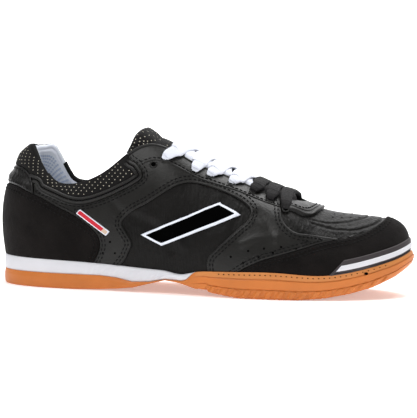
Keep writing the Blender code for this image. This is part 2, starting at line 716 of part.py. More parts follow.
def build_tongue(mat):
    """The tongue, under both eyestays and over the instep, standing free above the throat."""
    top = time_where(TOP_X, TONGUE_TOP)
    front = time_where(TOP_X, THROAT_ROUND_FROM + 0.88 * (THROAT_FRONT - THROAT_ROUND_FROM))
    inside = HALF_TIMES[(HALF_TIMES > top + 0.01) & (HALF_TIMES < front + 1e-6)]
    times = np.concatenate([[top], inside])
    t = np.concatenate([[-1.0, -0.5], np.linspace(0, 1, ACROSS_STEPS + 1), [1.5, 2.0]])
    depth = WALL + 5 * GAP
    layers = []
    for offset in (-depth, -(depth + TONGUE)):
        laid = bridge(times[:, None], t[None, :], offset, TONGUE_PUFF, TONGUE_UNDER)
        arch = bridge(np.full(len(t), top), (t + 1) / 3, offset, TONGUE_PUFF, TONGUE_UNDER)
        middle = arch[len(t) // 2]
        free = []
        for row in TONGUE_FREE:
            rel = arch - middle
            turned = np.stack([
                rel[:, 0] * np.cos(row.lean) + rel[:, 2] * np.sin(row.lean),
                rel[:, 1] * row.width,
                rel[:, 2] * np.cos(row.lean) - rel[:, 0] * np.sin(row.lean),
            ], axis=1)
            shift = np.array([-row.back * LENGTH, 0.0, row.up * INSTEP_HEIGHT])
            free.insert(0, middle + turned + shift)
        layers.append(np.concatenate([free, laid]))
    block("tongue", layers[0], layers[1], mat)


def lace_bar(name, start, end, way, mat):
    """One flat bar from the eyelet at start on one side to the one at end on the other."""
    size = 1.0 if way < 0 else SECOND_WAY
    steps = np.linspace(-1, 2, LACE_STEPS + 1)
    half = LACE_WIDTH * size / 2 / LENGTH
    share = np.clip(steps, 0, 1)
    middle = time_where(TOP_X, start) * (1 - share) + time_where(TOP_X, end) * share
    u = middle[:, None] + np.array([-half, half])[None, :]
    t = np.repeat(steps[:, None], 2, axis=1)
    t = t if way < 0 else 1 - t
    low = 2 * GAP + OVERLAY + LACE * (1 - size) / 2
    lower = bridge(u, t, low, TONGUE_PUFF, EYELET_DOWN)
    upper = bridge(u, t, low + LACE * size, TONGUE_PUFF, EYELET_DOWN)
    return block(name, upper, lower, mat)


def build_lace(name, rows, mat):
    """Criss-cross bars between the eyelet rows, joined into one solid."""
    bars = []
    for start, end in zip(rows, rows[1:]):
        for way in (-1, 1):
            bars.append(lace_bar(f"{name}_bar", start, end, way, mat))
    lace = bars.pop(0)
    lace.name = name
    for bar in bars:
        union = lace.modifiers.new("joined", "BOOLEAN")
        union.operation = "UNION"
        union.solver = "EXACT"
        union.object = bar
        bar.hide_render = True
        bar.display_type = "WIRE"


def sole_value(column, along):
    """A column of the sole's table, read at a distance from the heel."""
    shares = [row.along for row in SOLE_ROWS]
    return np.interp(along / LENGTH, shares, [getattr(row, column) for row in SOLE_ROWS])


def ground(x):
    return sole_value("arch", x) * ARCH_RISE + sole_value("tip", x) * TIP_RISE


PLATE_TIME = time_where(FOOT_X, PLATE_END)
WEDGE_TIME = time_where(FOOT_X, WEDGE_END)


def ring_faces(rows, columns, closed=False):
    """Quads between neighbouring stations of a closed ring."""
    faces = []
    for i in range(rows):
        k = (i + 1) % rows
        for a in range(columns if closed else columns - 1):
            b = (a + 1) % columns
            faces.append((i * columns + a, k * columns + a, k * columns + b, i * columns + b))
    return faces


def ladder_faces(rows, columns, column):
    """A cap between the lateral and medial halves of one column of a ring."""
    faces = []
    for i in range(rows // 2):
        a, b = i, i + 1
        c, d = (rows - i - 1) % rows, (rows - i) % rows
        faces.append(tuple(row * columns + column for row in dict.fromkeys((a, b, c, d))))
    return faces


def edge_point(u, outward, z):
    """A point beside the sole edge at a height."""
    point = RING(u)[..., :3] + edge_outward(u) * np.asarray(outward)[..., None]
    point[..., 2] = z
    return point


def build_outsole(mat):
    """The rubber: a plate under the midsole, and a cup with a grooved side round the forefoot."""
    u = RING_TIMES
    ring = RING(u)
    x, edge_z = ring[:, 0], ring[:, 2]
    half_u = np.minimum(u, 2 - u)
    rim = sole_value("proud", x) * RIM
    band = sole_value("band", x) * GROOVE
    join = sole_value("join", x) * SOLE_EDGE
    top = np.where(half_u < WEDGE_TIME + 1e-6, join, edge_z)
    seat = edge_z - ring[:, 11] - GAP
    seat = np.where(half_u < PLATE_TIME + 1e-6, join - 2 * GAP, seat)
    columns = []
    for line in SIDE_LINES:
        outward = rim * line.rim + band * line.groove
        low = ground(edge_point(u, outward, 0)[:, 0])
        columns.append(edge_point(u, outward, low + (top - low) * line.height))
    inside = np.where(seat < top, GAP, 0.0)
    columns.append(edge_point(u, inside, top))
    columns.append(edge_point(u, inside, seat))
    verts = np.stack(columns, axis=1)
    rows, count = verts.shape[:2]
    faces = ring_faces(rows, count)
    faces += ladder_faces(rows, count, 0)
    faces += ladder_faces(rows, count, count - 1)
    outsole = add_object("outsole", verts.reshape(-1, 3), faces, mat)
    slots = outsole.modifiers.new("tread", "BOOLEAN")
    slots.operation = "DIFFERENCE"
    slots.solver = "EXACT"
    slots.object = build_tread_cutter(mat)


def build_tread_cutter(mat):
    """Slanted bars that cut the tread slots across the forefoot and the heel."""
    reach = BALL_WIDTH * TREAD_REACH
    places = []
    for zone in TREAD_ZONES:
        places += list(np.arange(zone.begins * LENGTH, zone.ends * LENGTH, TREAD_PITCH * zone.pitch))
    verts, faces = [], []
    for x in places:
        base = len(verts)
        for dz in (-2 * TREAD_DEPTH, TREAD_DEPTH):
            for dx, y in ((-1, -reach), (1, -reach), (1, reach), (-1, reach)):
                along = x + dx * TREAD_WIDTH / 2 + TREAD_SLANT * y
                verts.append((along, y, ground(x) + dz))
        for face in (
            (0, 3, 2, 1), (4, 5, 6, 7), (0, 1, 5, 4), (1, 2, 6, 5), (2, 3, 7, 6), (3, 0, 4, 7),
        ):
            faces.append(tuple(base + i for i in face))
    cutter = add_object("tread_cutter", verts, faces, mat, smooth=False)
    cutter.hide_render = True
    cutter.display_type = "WIRE"
    return cutter


def build_midsole(mat):
    """The white wedge: a plate under the heel, and two thin wings that end at the arch."""
    half = RING_TIMES[RING_TIMES < WEDGE_TIME + 1e-6]
    u = np.concatenate([-half[:0:-1], half])
    ring = RING(u)
    x, edge_z = ring[:, 0], ring[:, 2]
    rim = sole_value("proud", x) * RIM
    join = sole_value("join", x) * SOLE_EDGE + GAP
    seat = edge_z - ring[:, 11] - GAP
    inside = np.full(len(u), GAP)
    columns = [
        edge_point(u, rim * SIDE_LINES[-1].rim, join),
        edge_point(u, rim * SIDE_LINES[-2].rim, (join + edge_z) / 2),
        edge_point(u, rim * SIDE_LINES[-1].rim, edge_z),
        edge_point(u, inside, edge_z),
        edge_point(u, inside, seat),
        edge_point(u, inside, join),
    ]
    verts = np.stack(columns, axis=1)
    rows, count = verts.shape[:2]
    middle = len(half) - 1
    plate = int(np.sum(half < PLATE_TIME + 1e-6)) - 1
    faces = []

    def add(*corners):
        faces.append(tuple(row * count + column for row, column in corners))

    for i in range(rows - 1):
        k = i + 1
        for a, b in ((0, 1), (1, 2), (2, 3), (5, 0)):
            add((i, a), (k, a), (k, b), (i, b))
        near, far = sorted((i, k), key=lambda row: abs(row - middle))
        if abs(far - middle) <= plate:
            add((i, 3), (k, 3), (k, 4), (i, 4))
        elif abs(near - middle) == plate:
            add((near, 3), (near, 4), (near, 5), (far, 5), (far, 3))
        else:
            add((i, 3), (k, 3), (k, 5), (i, 5))
    for column in (4, 5):
        for k in range(plate):
            a, b, c, d = middle + k, middle + k + 1, middle - k - 1, middle - k
            add(*((row, column) for row in dict.fromkeys((a, b, c, d))))
    left, right = middle - plate, middle + plate
    add((left, 4), (right, 4), (right, 5), (left, 5))
    for end in (0, rows - 1):
        add(*((end, column) for column in (0, 1, 2, 3, 5)))
    add_object("midsole", verts.reshape(-1, 3), faces, mat)


def build_insole(mat):
    """The insole, lying on the midsole's plate and on the rubber of the forefoot."""
    u = RING_TIMES
    ring = RING(u)
    seat = ring[:, 2] - ring[:, 11]
    inside = np.full(len(u), -(WALL + GAP))
    columns = [
        edge_point(u, inside - INSOLE / 3, seat),
        edge_point(u, inside, seat + INSOLE / 3),
        edge_point(u, inside, seat + INSOLE),
    ]
    verts = np.stack(columns, axis=1)
    rows, count = verts.shape[:2]
    faces = ring_faces(rows, count)
    faces += ladder_faces(rows, count, 0)
    faces += ladder_faces(rows, count, 2)
    add_object("insole", verts.reshape(-1, 3), faces, mat)


def build_materials():
    return {
        "gum": material("gum_rubber", srgb(214, 127, 68), 0.55),
        "white": material("white_rubber", srgb(225, 226, 230), 0.5),
        "suede": material("black_suede", srgb(32, 28, 28), 0.9, 0.3),
        "leather": material("black_leather", srgb(42, 40, 40), 0.38),
        "gloss": material("gloss_leather", srgb(44, 42, 41), 0.28),
        "mesh": material("dotted_mesh", srgb(40, 39, 38), 0.8),
        "lining": material("white_lining", srgb(214, 219, 230), 0.8),
        "rubber": material("grey_rubber", srgb(73, 66, 68), 0.6),
        "lace_white": material("white_lace", srgb(228, 231, 242), 0.8),
        "lace_black": material("black_lace", srgb(34, 31, 32), 0.85),
        "label": material("woven_label", srgb(198, 30, 48), 0.7),
        "insole": material("insole_cloth", srgb(150, 152, 158), 0.85),
    }


def place_on_origin():
    """Moves every piece so that the middle of the whole outline stands on the origin."""
    corners = []
    for obj in bpy.data.objects:
        if not obj.hide_render:
            corners += [vert.co for vert in obj.data.vertices]
    corners = np.array(corners)
    middle = (corners.min(axis=0) + corners.max(axis=0)) / 2
    for obj in bpy.data.objects:
        obj.location = (-middle[0], -middle[1], 0.0)


def main():
    for obj in list(bpy.data.objects):
        bpy.data.objects.remove(obj)
    mats = build_materials()
    build_outsole(mats["gum"])
    build_midsole(mats["white"])
    build_insole(mats["insole"])
    build_upper(mats["leather"])
    build_overlays(mats)
    build_lining(mats["lining"])
    build_tongue(mats["mesh"])
    build_lace("lace_white", WHITE_ROWS, mats["lace_white"])
    build_lace("lace_black", BLACK_ROWS, mats["lace_black"])
    place_on_origin()


main()
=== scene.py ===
"""The looks of the indoor court shoe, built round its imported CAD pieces.

The last, the panels' outlines and the sole's table are the ones that the CAD pieces were cut from,
sampled more finely here. X runs along the shoe towards the toe, -Y is its outer side, Z is up.
"""

import math
from collections import namedtuple

import bmesh
import bpy
import numpy as np
from mathutils import Matrix, Vector


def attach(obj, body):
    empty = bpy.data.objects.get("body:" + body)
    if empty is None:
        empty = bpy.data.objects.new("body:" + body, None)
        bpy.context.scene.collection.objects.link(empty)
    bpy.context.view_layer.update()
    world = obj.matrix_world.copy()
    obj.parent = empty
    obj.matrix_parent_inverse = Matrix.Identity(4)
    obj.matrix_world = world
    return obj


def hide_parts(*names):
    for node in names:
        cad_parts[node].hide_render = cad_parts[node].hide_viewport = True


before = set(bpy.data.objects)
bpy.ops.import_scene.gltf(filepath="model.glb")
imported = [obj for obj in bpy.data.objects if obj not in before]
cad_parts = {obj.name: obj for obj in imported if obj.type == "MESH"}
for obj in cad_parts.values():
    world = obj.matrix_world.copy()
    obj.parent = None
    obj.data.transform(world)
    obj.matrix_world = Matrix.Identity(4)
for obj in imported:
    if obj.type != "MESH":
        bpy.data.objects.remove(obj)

# Driving sizes of the shoe
LENGTH = 0.292
BALL_WIDTH = 0.094
HEEL_WIDTH = 0.066
HEEL_HEIGHT = 0.099
INSTEP_HEIGHT = 0.100
TOE_HEIGHT = 0.056
SOLE_EDGE = 0.0195
TOE_SPRING = 0.0150
WELL_DEPTH = 0.0075

# The sole
ARCH_RISE = 0.0088
TIP_RISE = 0.0240
RIM = 0.0028
GROOVE = 0.0009
TREAD_DEPTH = 0.0015
TREAD_WIDTH = 0.0016
TREAD_PITCH = 0.0078
TREAD_SLANT = 0.35
INSOLE = 0.0032

# Walls and clearances
GAP = 0.0003
SNAP = 0.00002
WALL = 0.0016
LINING_PAD = 0.0040
TONGUE = 0.0040
LACE = 0.0013

# Throat: shares of LENGTH where its straight sides end and where its round front ends
THROAT_ROUND_FROM = 0.675
THROAT_FRONT = 0.735

# One row for each section of the last, from the middle of the heel to the middle of the toe.
#   along            where the section meets the sole edge, as a share of LENGTH
#   span, lat, med   the width that rules there, and half widths as shares of it
#   edge, spring     height of the sole edge, as shares of SOLE_EDGE and TOE_SPRING
#   well             how far the wall goes down inside the sole, as a share of WELL_DEPTH
#   top_along        where the section ends at the top, as a share of LENGTH
#   crest            how far the top line stands towards the big toe, as a share of BALL_WIDTH
#   half             half the opening there, as a share of span
#   size, top        the height that rules there, and the top as a share of it
#   swell, lift      lower handle: outwards as a share of BALL_WIDTH, up as a share of the rise
#   reach, drop      upper handle: outwards as a share of BALL_WIDTH, down as a share of the rise
Section = namedtuple(
    "Section",
    "along span lat med edge spring well top_along crest half size top swell lift reach drop",
)
HW, BW, HH, IH, TH = HEEL_WIDTH, BALL_WIDTH, HEEL_HEIGHT, INSTEP_HEIGHT, TOE_HEIGHT
SECTIONS = [
    Section(0.0155, HW, 0, 0, 1.05, 0, 0.90, 0.072, 0, 0, HH, 0.980, 0.046, 0.31, 0.244, 0.31),
    Section(
        0.0290, HW, 0.195, 0.195, 1.05, 0, 0.90, 0.077, 0, 0.130, HH, 0.975, 0.046, 0.31, 0.210,
        0.31,
    ),
    Section(
        0.0660, HW, 0.355, 0.355, 1.04, 0, 0.90, 0.100, 0, 0.270, HH, 0.919, 0.046, 0.31, 0.160,
        0.31,
    ),
    Section(
        0.1350, HW, 0.470, 0.465, 1.02, 0, 0.87, 0.143, 0, 0.390, HH, 0.762, 0.045, 0.31, 0.110,
        0.31,
    ),
    Section(
        0.2260, HW, 0.505, 0.485, 0.98, 0, 0.77, 0.212, 0, 0.455, HH, 0.733, 0.040, 0.32, 0.100,
        0.30,
    ),
    Section(
        0.3200, HW, 0.520, 0.450, 0.90, 0, 0.70, 0.292, 0, 0.445, HH, 0.855, 0.030, 0.34, 0.120,
        0.28,
    ),
    Section(
        0.4100, BW, 0.400, 0.310, 0.83, 0, 0.65, 0.378, 0, 0.245, IH, 1.006, 0.020, 0.36, 0.190,
        0.25,
    ),
    Section(
        0.4500, BW, 0.425, 0.335, 0.835, 0, 0.70, 0.425, 0, 0.240, IH, 0.970, 0.021, 0.36, 0.190,
        0.22,
    ),
    Section(
        0.5050, BW, 0.455, 0.370, 0.86, 0, 0.80, 0.475, 0, 0.232, IH, 0.889, 0.022, 0.36, 0.190,
        0.20,
    ),
    Section(
        0.6050, BW, 0.497, 0.450, 0.91, 0, 1.05, 0.565, 0.01, 0.218, IH, 0.786, 0.026, 0.38, 0.190,
        0.14,
    ),
    Section(
        0.7000, BW, 0.490, 0.503, 0.92, 0, 1.08, 0.655, 0.02, 0.212, IH, 0.679, 0.030, 0.40, 0.200,
        0.10,
    ),
    Section(
        0.7850, BW, 0.435, 0.503, 0.85, 0, 0.93, 0.735, 0.03, 0.190, TH, 1.105, 0.030, 0.42, 0.250,
        0.05,
    ),
    Section(
        0.8570, BW, 0.340, 0.455, 0.85, 0.17, 0.93, 0.795, 0.05, 0.180, TH, 1.027, 0.030, 0.44,
        0.235, 0.03,
    ),
    Section(
        0.9180, BW, 0.215, 0.375, 0.85, 0.48, 0.93, 0.845, 0.07, 0.180, TH, 0.993, 0.025, 0.46,
        0.220, 0.01,
    ),
    Section(
        0.9600, BW, 0.070, 0.270, 0.85, 0.77, 0.93, 0.880, 0.085, 0.180, TH, 0.975, 0.018, 0.53,
        0.215, 0.01,
    ),
    Section(
        0.9790, BW, -0.106, 0.106, 0.85, 0.99, 0.93, 0.895, 0.09, 0.180, TH, 0.964, 0.014, 0.60,
        0.220, 0,
    ),
]

# One row for each place along the sole.
#   along        share of LENGTH
#   arch, tip    height of the underside, as shares of ARCH_RISE and TIP_RISE
#   join         where the white midsole meets the rubber, as a share of SOLE_EDGE
#   proud        how far the sole stands out of the last's edge, as a share of RIM
#   band         1 where the rubber's side has its grooves, 0 where it is plain
SoleRow = namedtuple("SoleRow", "along arch tip join proud band")
SOLE_ROWS = [
    SoleRow(0.000, 0.00, 0.00, 0.533, 0.55, 0.0),
    SoleRow(0.210, 0.00, 0.00, 0.533, 0.80, 0.0),
    SoleRow(0.270, 0.09, 0.00, 0.530, 0.90, 0.0),
    SoleRow(0.310, 0.18, 0.00, 0.480, 0.95, 0.0),
    SoleRow(0.350, 0.33, 0.00, 0.359, 0.95, 0.0),
    SoleRow(0.392, 0.72, 0.00, 0.395, 1.00, 0.0),
    SoleRow(0.430, 1.06, 0.00, 0.512, 1.00, 0.0),
    SoleRow(0.455, 0.96, 0.00, 0.510, 1.00, 0.0),
    SoleRow(0.472, 0.84, 0.00, 0.500, 1.00, 0.0),
    SoleRow(0.487, 0.68, 0.00, 0.580, 1.00, 0.0),
    SoleRow(0.503, 0.54, 0.00, 0.740, 1.00, 0.3),
    SoleRow(0.530, 0.53, 0.00, 0.720, 1.00, 1.0),
    SoleRow(0.536, 0.33, 0.00, 0.720, 1.00, 1.0),
    SoleRow(0.577, 0.12, 0.00, 0.720, 1.00, 1.0),
    SoleRow(0.607, 0.00, 0.00, 0.720, 1.00, 1.0),
    SoleRow(0.740, 0.00, 0.00, 0.720, 1.00, 1.0),
    SoleRow(0.800, 0.00, 0.06, 0.720, 1.05, 1.0),
    SoleRow(0.855, 0.00, 0.18, 0.720, 1.15, 1.0),
    SoleRow(0.906, 0.00, 0.35, 0.720, 1.30, 1.0),
    SoleRow(0.955, 0.00, 0.62, 0.720, 1.50, 1.0),
    SoleRow(1.000, 0.00, 1.00, 0.720, 1.70, 1.0),
]
# Share of LENGTH where the midsole's wedge ends
WEDGE_END = 0.503

# Zones with tread slots: shares of LENGTH where each begins and ends, and its pitch as a share of
# TREAD_PITCH
TreadZone = namedtuple("TreadZone", "begins ends pitch")
TREAD_ZONES = [TreadZone(0.070, 0.180, 1.4), TreadZone(0.625, 0.860, 1.0)]

# The side of the rubber from its bottom to its top: share of the height, and how far each line
# stands out, as a share of RIM everywhere and as a share of GROOVE where the side is banded
SideLine = namedtuple("SideLine", "height rim groove")
SIDE_LINES = [
    SideLine(0.00, 0.25, 0.0),
    SideLine(0.10, 0.78, 0.0),
    SideLine(0.33, 0.96, 0.0),
    SideLine(0.36, 0.97, -1.0),
    SideLine(0.39, 1.00, 0.2),
    SideLine(0.71, 1.00, 0.2),
    SideLine(0.74, 0.96, -1.0),
    SideLine(0.77, 0.92, 0.0),
    SideLine(1.00, 0.72, 0.0),
]

# Outlines of the overlays seen from the side: shares of LENGTH and INSTEP_HEIGHT
COUNTER = [
    (-0.060, 0.710), (0.000, 0.708), (0.052, 0.691), (0.084, 0.657), (0.121, 0.620),
    (0.162, 0.564), (0.202, 0.513), (0.236, 0.454), (0.262, 0.385), (0.270, 0.319),
    (0.266, 0.260), (0.255, 0.190), (0.240, 0.050), (-0.060, 0.050),
]
HEEL_TAB = [
    (-0.060, 0.830), (0.030, 0.825), (0.062, 0.818), (0.084, 0.785), (0.097, 0.730),
    (0.103, 0.655), (0.100, 0.560), (0.060, 0.500), (-0.060, 0.500),
]
COLLAR = [
    (-0.060, 0.760), (0.050, 0.740), (0.105, 0.716), (0.119, 0.672), (0.155, 0.629),
    (0.189, 0.596), (0.221, 0.588), (0.253, 0.609), (0.284, 0.644), (0.316, 0.689),
    (0.347, 0.738), (0.366, 0.790), (0.350, 0.860), (0.325, 0.930), (0.300, 1.300),
    (-0.060, 1.300),
]
QUARTER = [
    (0.080, 0.050), (0.860, 0.050), (0.872, 0.400), (0.830, 0.404), (0.795, 0.413),
    (0.762, 0.428), (0.731, 0.445), (0.711, 0.479), (0.699, 0.518), (0.693, 0.566),
    (0.688, 0.619), (0.680, 0.670), (0.655, 0.800), (0.550, 1.000), (0.400, 1.250),
    (0.250, 1.100), (0.080, 0.700),
]
WINDOW = [
    (0.312, 0.060), (0.334, 0.244), (0.345, 0.332), (0.332, 0.402), (0.320, 0.470),
    (0.341, 0.545), (0.381, 0.612), (0.416, 0.680), (0.447, 0.735), (0.475, 0.757),
    (0.504, 0.747), (0.539, 0.719), (0.573, 0.683), (0.603, 0.640), (0.624, 0.585),
    (0.621, 0.520), (0.601, 0.463), (0.579, 0.401), (0.553, 0.326), (0.532, 0.250),
    (0.512, 0.060),
]
MUDGUARD = [
    (0.585, 0.100), (0.608, 0.182), (0.646, 0.244), (0.679, 0.279), (0.726, 0.322),
    (0.773, 0.364), (0.819, 0.396), (0.854, 0.415), (0.885, 0.447), (0.910, 0.490),
    (0.926, 0.530), (0.940, 0.620), (1.060, 0.700), (1.060, 0.060), (0.700, 0.030),
]
TOE_STRIP = [
    (0.800, 0.080), (0.820, 0.205), (0.838, 0.258), (0.870, 0.292), (0.895, 0.340),
    (0.930, 0.700), (1.100, 0.700), (1.100, 0.050),
]
SIDE_LABEL = [(0.211, 0.521), (0.2205, 0.553), (0.294, 0.408), (0.2845, 0.375)]

# Outline of the tab round the throat's front, seen from above: shares of LENGTH and BALL_WIDTH
THROAT_TAB = [
    (0.640, 0.330), (0.690, 0.375), (0.716, 0.370), (0.742, 0.325), (0.762, 0.240),
    (0.776, 0.130), (0.781, 0.030), (0.776, -0.070), (0.762, -0.180), (0.742, -0.265),
    (0.716, -0.310), (0.690, -0.315), (0.640, -0.270),
]

# Share of LENGTH where the tongue's sewn part starts, and how its arch bulges and lies lower
TONGUE_TOP = 0.388
TONGUE_UNDER = 0.92
TONGUE_PUFF = 0.18


def srgb(red, green, blue):
    """A linear colour from the usual 0 to 255 values."""
    share = np.array([red, green, blue]) / 255
    linear = np.where(share <= 0.04045, share / 12.92, ((share + 0.055) / 1.055) ** 2.4)
    return (*linear, 1.0)


def ring_spline(times, values, period):
    """A smooth closed curve through values at times, as a function of time."""
    count = len(times)
    steps = np.diff(np.append(times, times[0] + period))
    system = np.zeros((count, count))
    right = np.zeros((count, values.shape[1]))
    for i in range(count):
        before, after = i - 1, (i + 1) % count
        system[i, before] += steps[before]
        system[i, i] += 2 * (steps[before] + steps[i])
        system[i, after] += steps[i]
        right[i] = 6 * (
            (values[after] - values[i]) / steps[i]
            - (values[i] - values[before]) / steps[before]
        )
    bend = np.linalg.solve(system, right)

    def at(time):
        time = np.mod(np.asarray(time, float) - times[0], period) + times[0]
        i = np.clip(np.searchsorted(times, time, side="right") - 1, 0, count - 1)
        j = (i + 1) % count
        step = steps[i][..., None]
        b = (time - times[i])[..., None] / step
        a = 1 - b
        curve = a * values[i] + b * values[j]
        return curve + step**2 / 6 * ((a**3 - a) * bend[i] + (b**3 - b) * bend[j])

    return at


def section_values(row, side):
    """The numbers of one section in metres, for side -1 (lateral) or +1 (medial)."""
    width = row.lat if side < 0 else row.med
    foot_z = row.edge * SOLE_EDGE + row.spring * TOE_SPRING
    top_z = row.top * row.size
    rise = top_z - foot_z
    return [
        row.along * LENGTH,
        side * width * row.span,
        foot_z,
        row.top_along * LENGTH,
        row.crest * BALL_WIDTH,
        side * row.half * row.span,
        top_z,
        row.swell * BALL_WIDTH,
        row.lift * rise,
        row.reach * BALL_WIDTH,
        row.drop * rise,
        row.well * WELL_DEPTH,
    ]


def last_ring():
    """The closed spline through the sections: time 0 is the heel, 1 the toe, 2 the heel again."""
    lateral = np.array([section_values(row, -1) for row in SECTIONS])
    medial = np.array([section_values(row, 1) for row in SECTIONS])
    chords = [
        np.linalg.norm(np.diff(half[:, :2], axis=0), axis=1) for half in (lateral, medial)
    ]
    share = np.append(0.0, np.cumsum(np.mean(chords, axis=0)))
    share /= share[-1]
    times = np.concatenate([share, 2 - share[-2:0:-1]])
    values = np.concatenate([lateral, medial[-2:0:-1]])
    return ring_spline(times, values, 2.0), share


RING, _ = last_ring()


def unit(vectors):
    return vectors / np.maximum(np.linalg.norm(vectors, axis=-1, keepdims=True), 1e-12)


def throat_closing(along):
    """1 where the throat's sides are straight, falling to 0 at its round front."""
    share = (along / LENGTH - THROAT_ROUND_FROM) / (THROAT_FRONT - THROAT_ROUND_FROM)
    share = np.where(share > 0.999, 1.0, np.clip(share, 0, 1))
    return np.sqrt(1 - share**2)


def smooth_closing(along):
    """The same from 1 to 0 without a kink, for the wall below the throat's edge."""
    share = np.clip((along / LENGTH - 0.690) / 0.055, 0, 1)
    return 1 - share**2 * (3 - 2 * share)


def edge_outward(u):
    """The direction that points straight out of the sole edge, level with the floor."""
    eps = 1e-3
    tangent = RING(u + eps)[..., :2] - RING(u - eps)[..., :2]
    level = np.zeros(np.shape(tangent[..., 0]))
    return unit(np.stack([tangent[..., 1], -tangent[..., 0], level], axis=-1))


def last_surface(u, v):
    """Points of the last: u runs round the ring, v from 0 at the sole edge to 1 at the top."""
    u, v = np.broadcast_arrays(np.asarray(u, float), np.asarray(v, float))
    ring = RING(u)
    foot = ring[..., 0:3]
    side_y = ring[..., 5] * smooth_closing(ring[..., 3])
    top = np.stack([ring[..., 3], ring[..., 4] + side_y, ring[..., 6]], axis=-1)
    kink = ring[..., 5] * throat_closing(ring[..., 3]) - side_y
    up = np.array([0.0, 0.0, 1.0])
    level = (foot - top) * np.array([1.0, 1.0, 0.0])
    low = foot + edge_outward(u) * ring[..., 7:8] + up * ring[..., 8:9]
    high = top + unit(level) * ring[..., 9:10] - up * ring[..., 10:11]
    b = np.clip(v, 0, 1)[..., None]
    a = 1 - b
    curve = a**3 * foot + 3 * a**2 * b * low + 3 * a * b**2 * high + b**3 * top
    curve[..., 1] += kink * np.clip(v, 0, 1) ** 10
    return curve + up * np.minimum(v, 0)[..., None] * ring[..., 11:12]


def last_normal(u, v):
    """Outward normals of the last."""
    eps = 1e-3
    v = np.clip(v, eps, 0.985)
    along = last_surface(u + eps, v) - last_surface(u - eps, v)
    upward = last_surface(u, v + eps) - last_surface(u, v - eps)
    return unit(np.cross(along, upward))


def off_last(u, v, offset):
    offset = np.asarray(offset, float)[..., None]
    return last_surface(u, v) + last_normal(u, v) * offset


def time_where(column, share):
    """The lateral ring time at which a column of the ring reaches a share of LENGTH."""
    times = np.linspace(0, 1, 4001)
    return float(np.interp(share * LENGTH, RING(times)[:, column], times))

FOOT_X, TOP_X = 0, 3


def smooth_outline(marks, steps=8):
    """A closed curve through the marks, as points."""
    marks = np.array(marks)
    share = np.arange(steps)[:, None] / steps
    points = []
    for i in range(len(marks)):
        p0, p1, p2, p3 = (marks[(i + k) % len(marks)] for k in (-1, 0, 1, 2))
        points.append(
            p1
            + share * (p2 - p0) / 2
            + share**2 * (2 * p0 - 5 * p1 + 4 * p2 - p3) / 2
            + share**3 * (3 * p1 - p0 - 3 * p2 + p3) / 2
        )
    return np.concatenate(points)


def outline_distance(points, outline):
    """Distance in the plane from each point to a closed outline, negative inside it."""
    best = np.full(len(points), np.inf)
    inside = np.zeros(len(points), bool)
    for a, b in zip(outline, np.roll(outline, -1, axis=0)):
        line = b - a
        share = np.clip((points - a) @ line / (line @ line), 0, 1)
        best = np.minimum(best, np.linalg.norm(points - a - share[:, None] * line, axis=1))
        if a[1] != b[1]:
            crosses = (a[1] > points[:, 1]) != (b[1] > points[:, 1])
            at = a[0] + (points[:, 1] - a[1]) / (b[1] - a[1]) * line[0]
            inside ^= crosses & (points[:, 0] < at)
    return np.where(inside, -best, best)


def label_fields(side):
    """Distances to the four straight sides of the label, negative inside each."""
    corners = np.array(SIDE_LABEL) * [LENGTH, INSTEP_HEIGHT]
    middle = corners.mean(axis=0)
    found = {}
    for i, (a, b) in enumerate(zip(corners, np.roll(corners, -1, axis=0))):
        outward = unit(np.array([b[1] - a[1], a[0] - b[0]]))
        outward *= np.sign((a - middle) @ outward)
        found[f"label{i}"] = (side - a) @ outward
    return found


def skin_fields(points, edge_z):
    """Values at each point of the last that are negative inside each outline."""
    side = points[:, [0, 2]]
    fields = {"over_edge": points[:, 2] - edge_z}
    for name, marks in (
        ("counter", COUNTER),
        ("tab", HEEL_TAB),
        ("collar", COLLAR),
        ("quarter", QUARTER),
        ("window", WINDOW),
        ("mudguard", MUDGUARD),
        ("strip_start", TOE_STRIP),
    ):
        outline = smooth_outline(np.array(marks) * [LENGTH, INSTEP_HEIGHT])
        fields[name] = outline_distance(side, outline)
    outline = smooth_outline(np.array(THROAT_TAB) * [LENGTH, BALL_WIDTH])
    fields["throat_tab"] = outline_distance(points[:, :2], outline)
    fields.update(label_fields(side))
    return fields


def across(u, t, offset, puff):
    """Points of an arch over the throat: t is 0 at the lateral edge and 1 at the medial one."""
    ends, ways = [], []
    for time in (u, 2 - u):
        ends.append(off_last(time, np.ones(u.shape), offset * np.ones(u.shape)))
        ways.append(unit(last_surface(time, 1.0) - last_surface(time, 0.97)))
    span = np.linalg.norm(ends[1] - ends[0], axis=-1, keepdims=True) * puff
    b = np.clip(t, 0, 1)[..., None]
    a = 1 - b
    low, high = ends[0] + ways[0] * span, ends[1] + ways[1] * span
    return a**3 * ends[0] + 3 * a**2 * b * low + 3 * a * b**2 * high + b**3 * ends[1]


def bridge(u, t, offset, puff, under):
    """The arch over the throat, continued down both walls for t from 0 to -1 and from 1 to 2."""
    u, t = np.broadcast_arrays(np.asarray(u, float), np.asarray(t, float))
    points = across(u, t, offset, puff)
    depth = np.clip(np.maximum(-t, t - 1), 0, 1)
    for side, time in ((t < 0, u), (t > 1, 2 - u)):
        wall = off_last(time, 1 - depth * (1 - under), offset * np.ones(u.shape))
        points = np.where(side[..., None], wall, points)
    return points


def sole_value(column, along):
    """A column of the sole's table, read at a distance from the heel."""
    shares = [row.along for row in SOLE_ROWS]
    return np.interp(along / LENGTH, shares, [getattr(row, column) for row in SOLE_ROWS])


def ground(x):
    return sole_value("arch", x) * ARCH_RISE + sole_value("tip", x) * TIP_RISE


WEDGE_TIME = time_where(FOOT_X, WEDGE_END)


def edge_point(u, outward, z):
    """A point beside the sole edge at a height."""
    point = RING(u)[..., :3] + edge_outward(u) * np.asarray(outward)[..., None]
    point[..., 2] = z
    return point


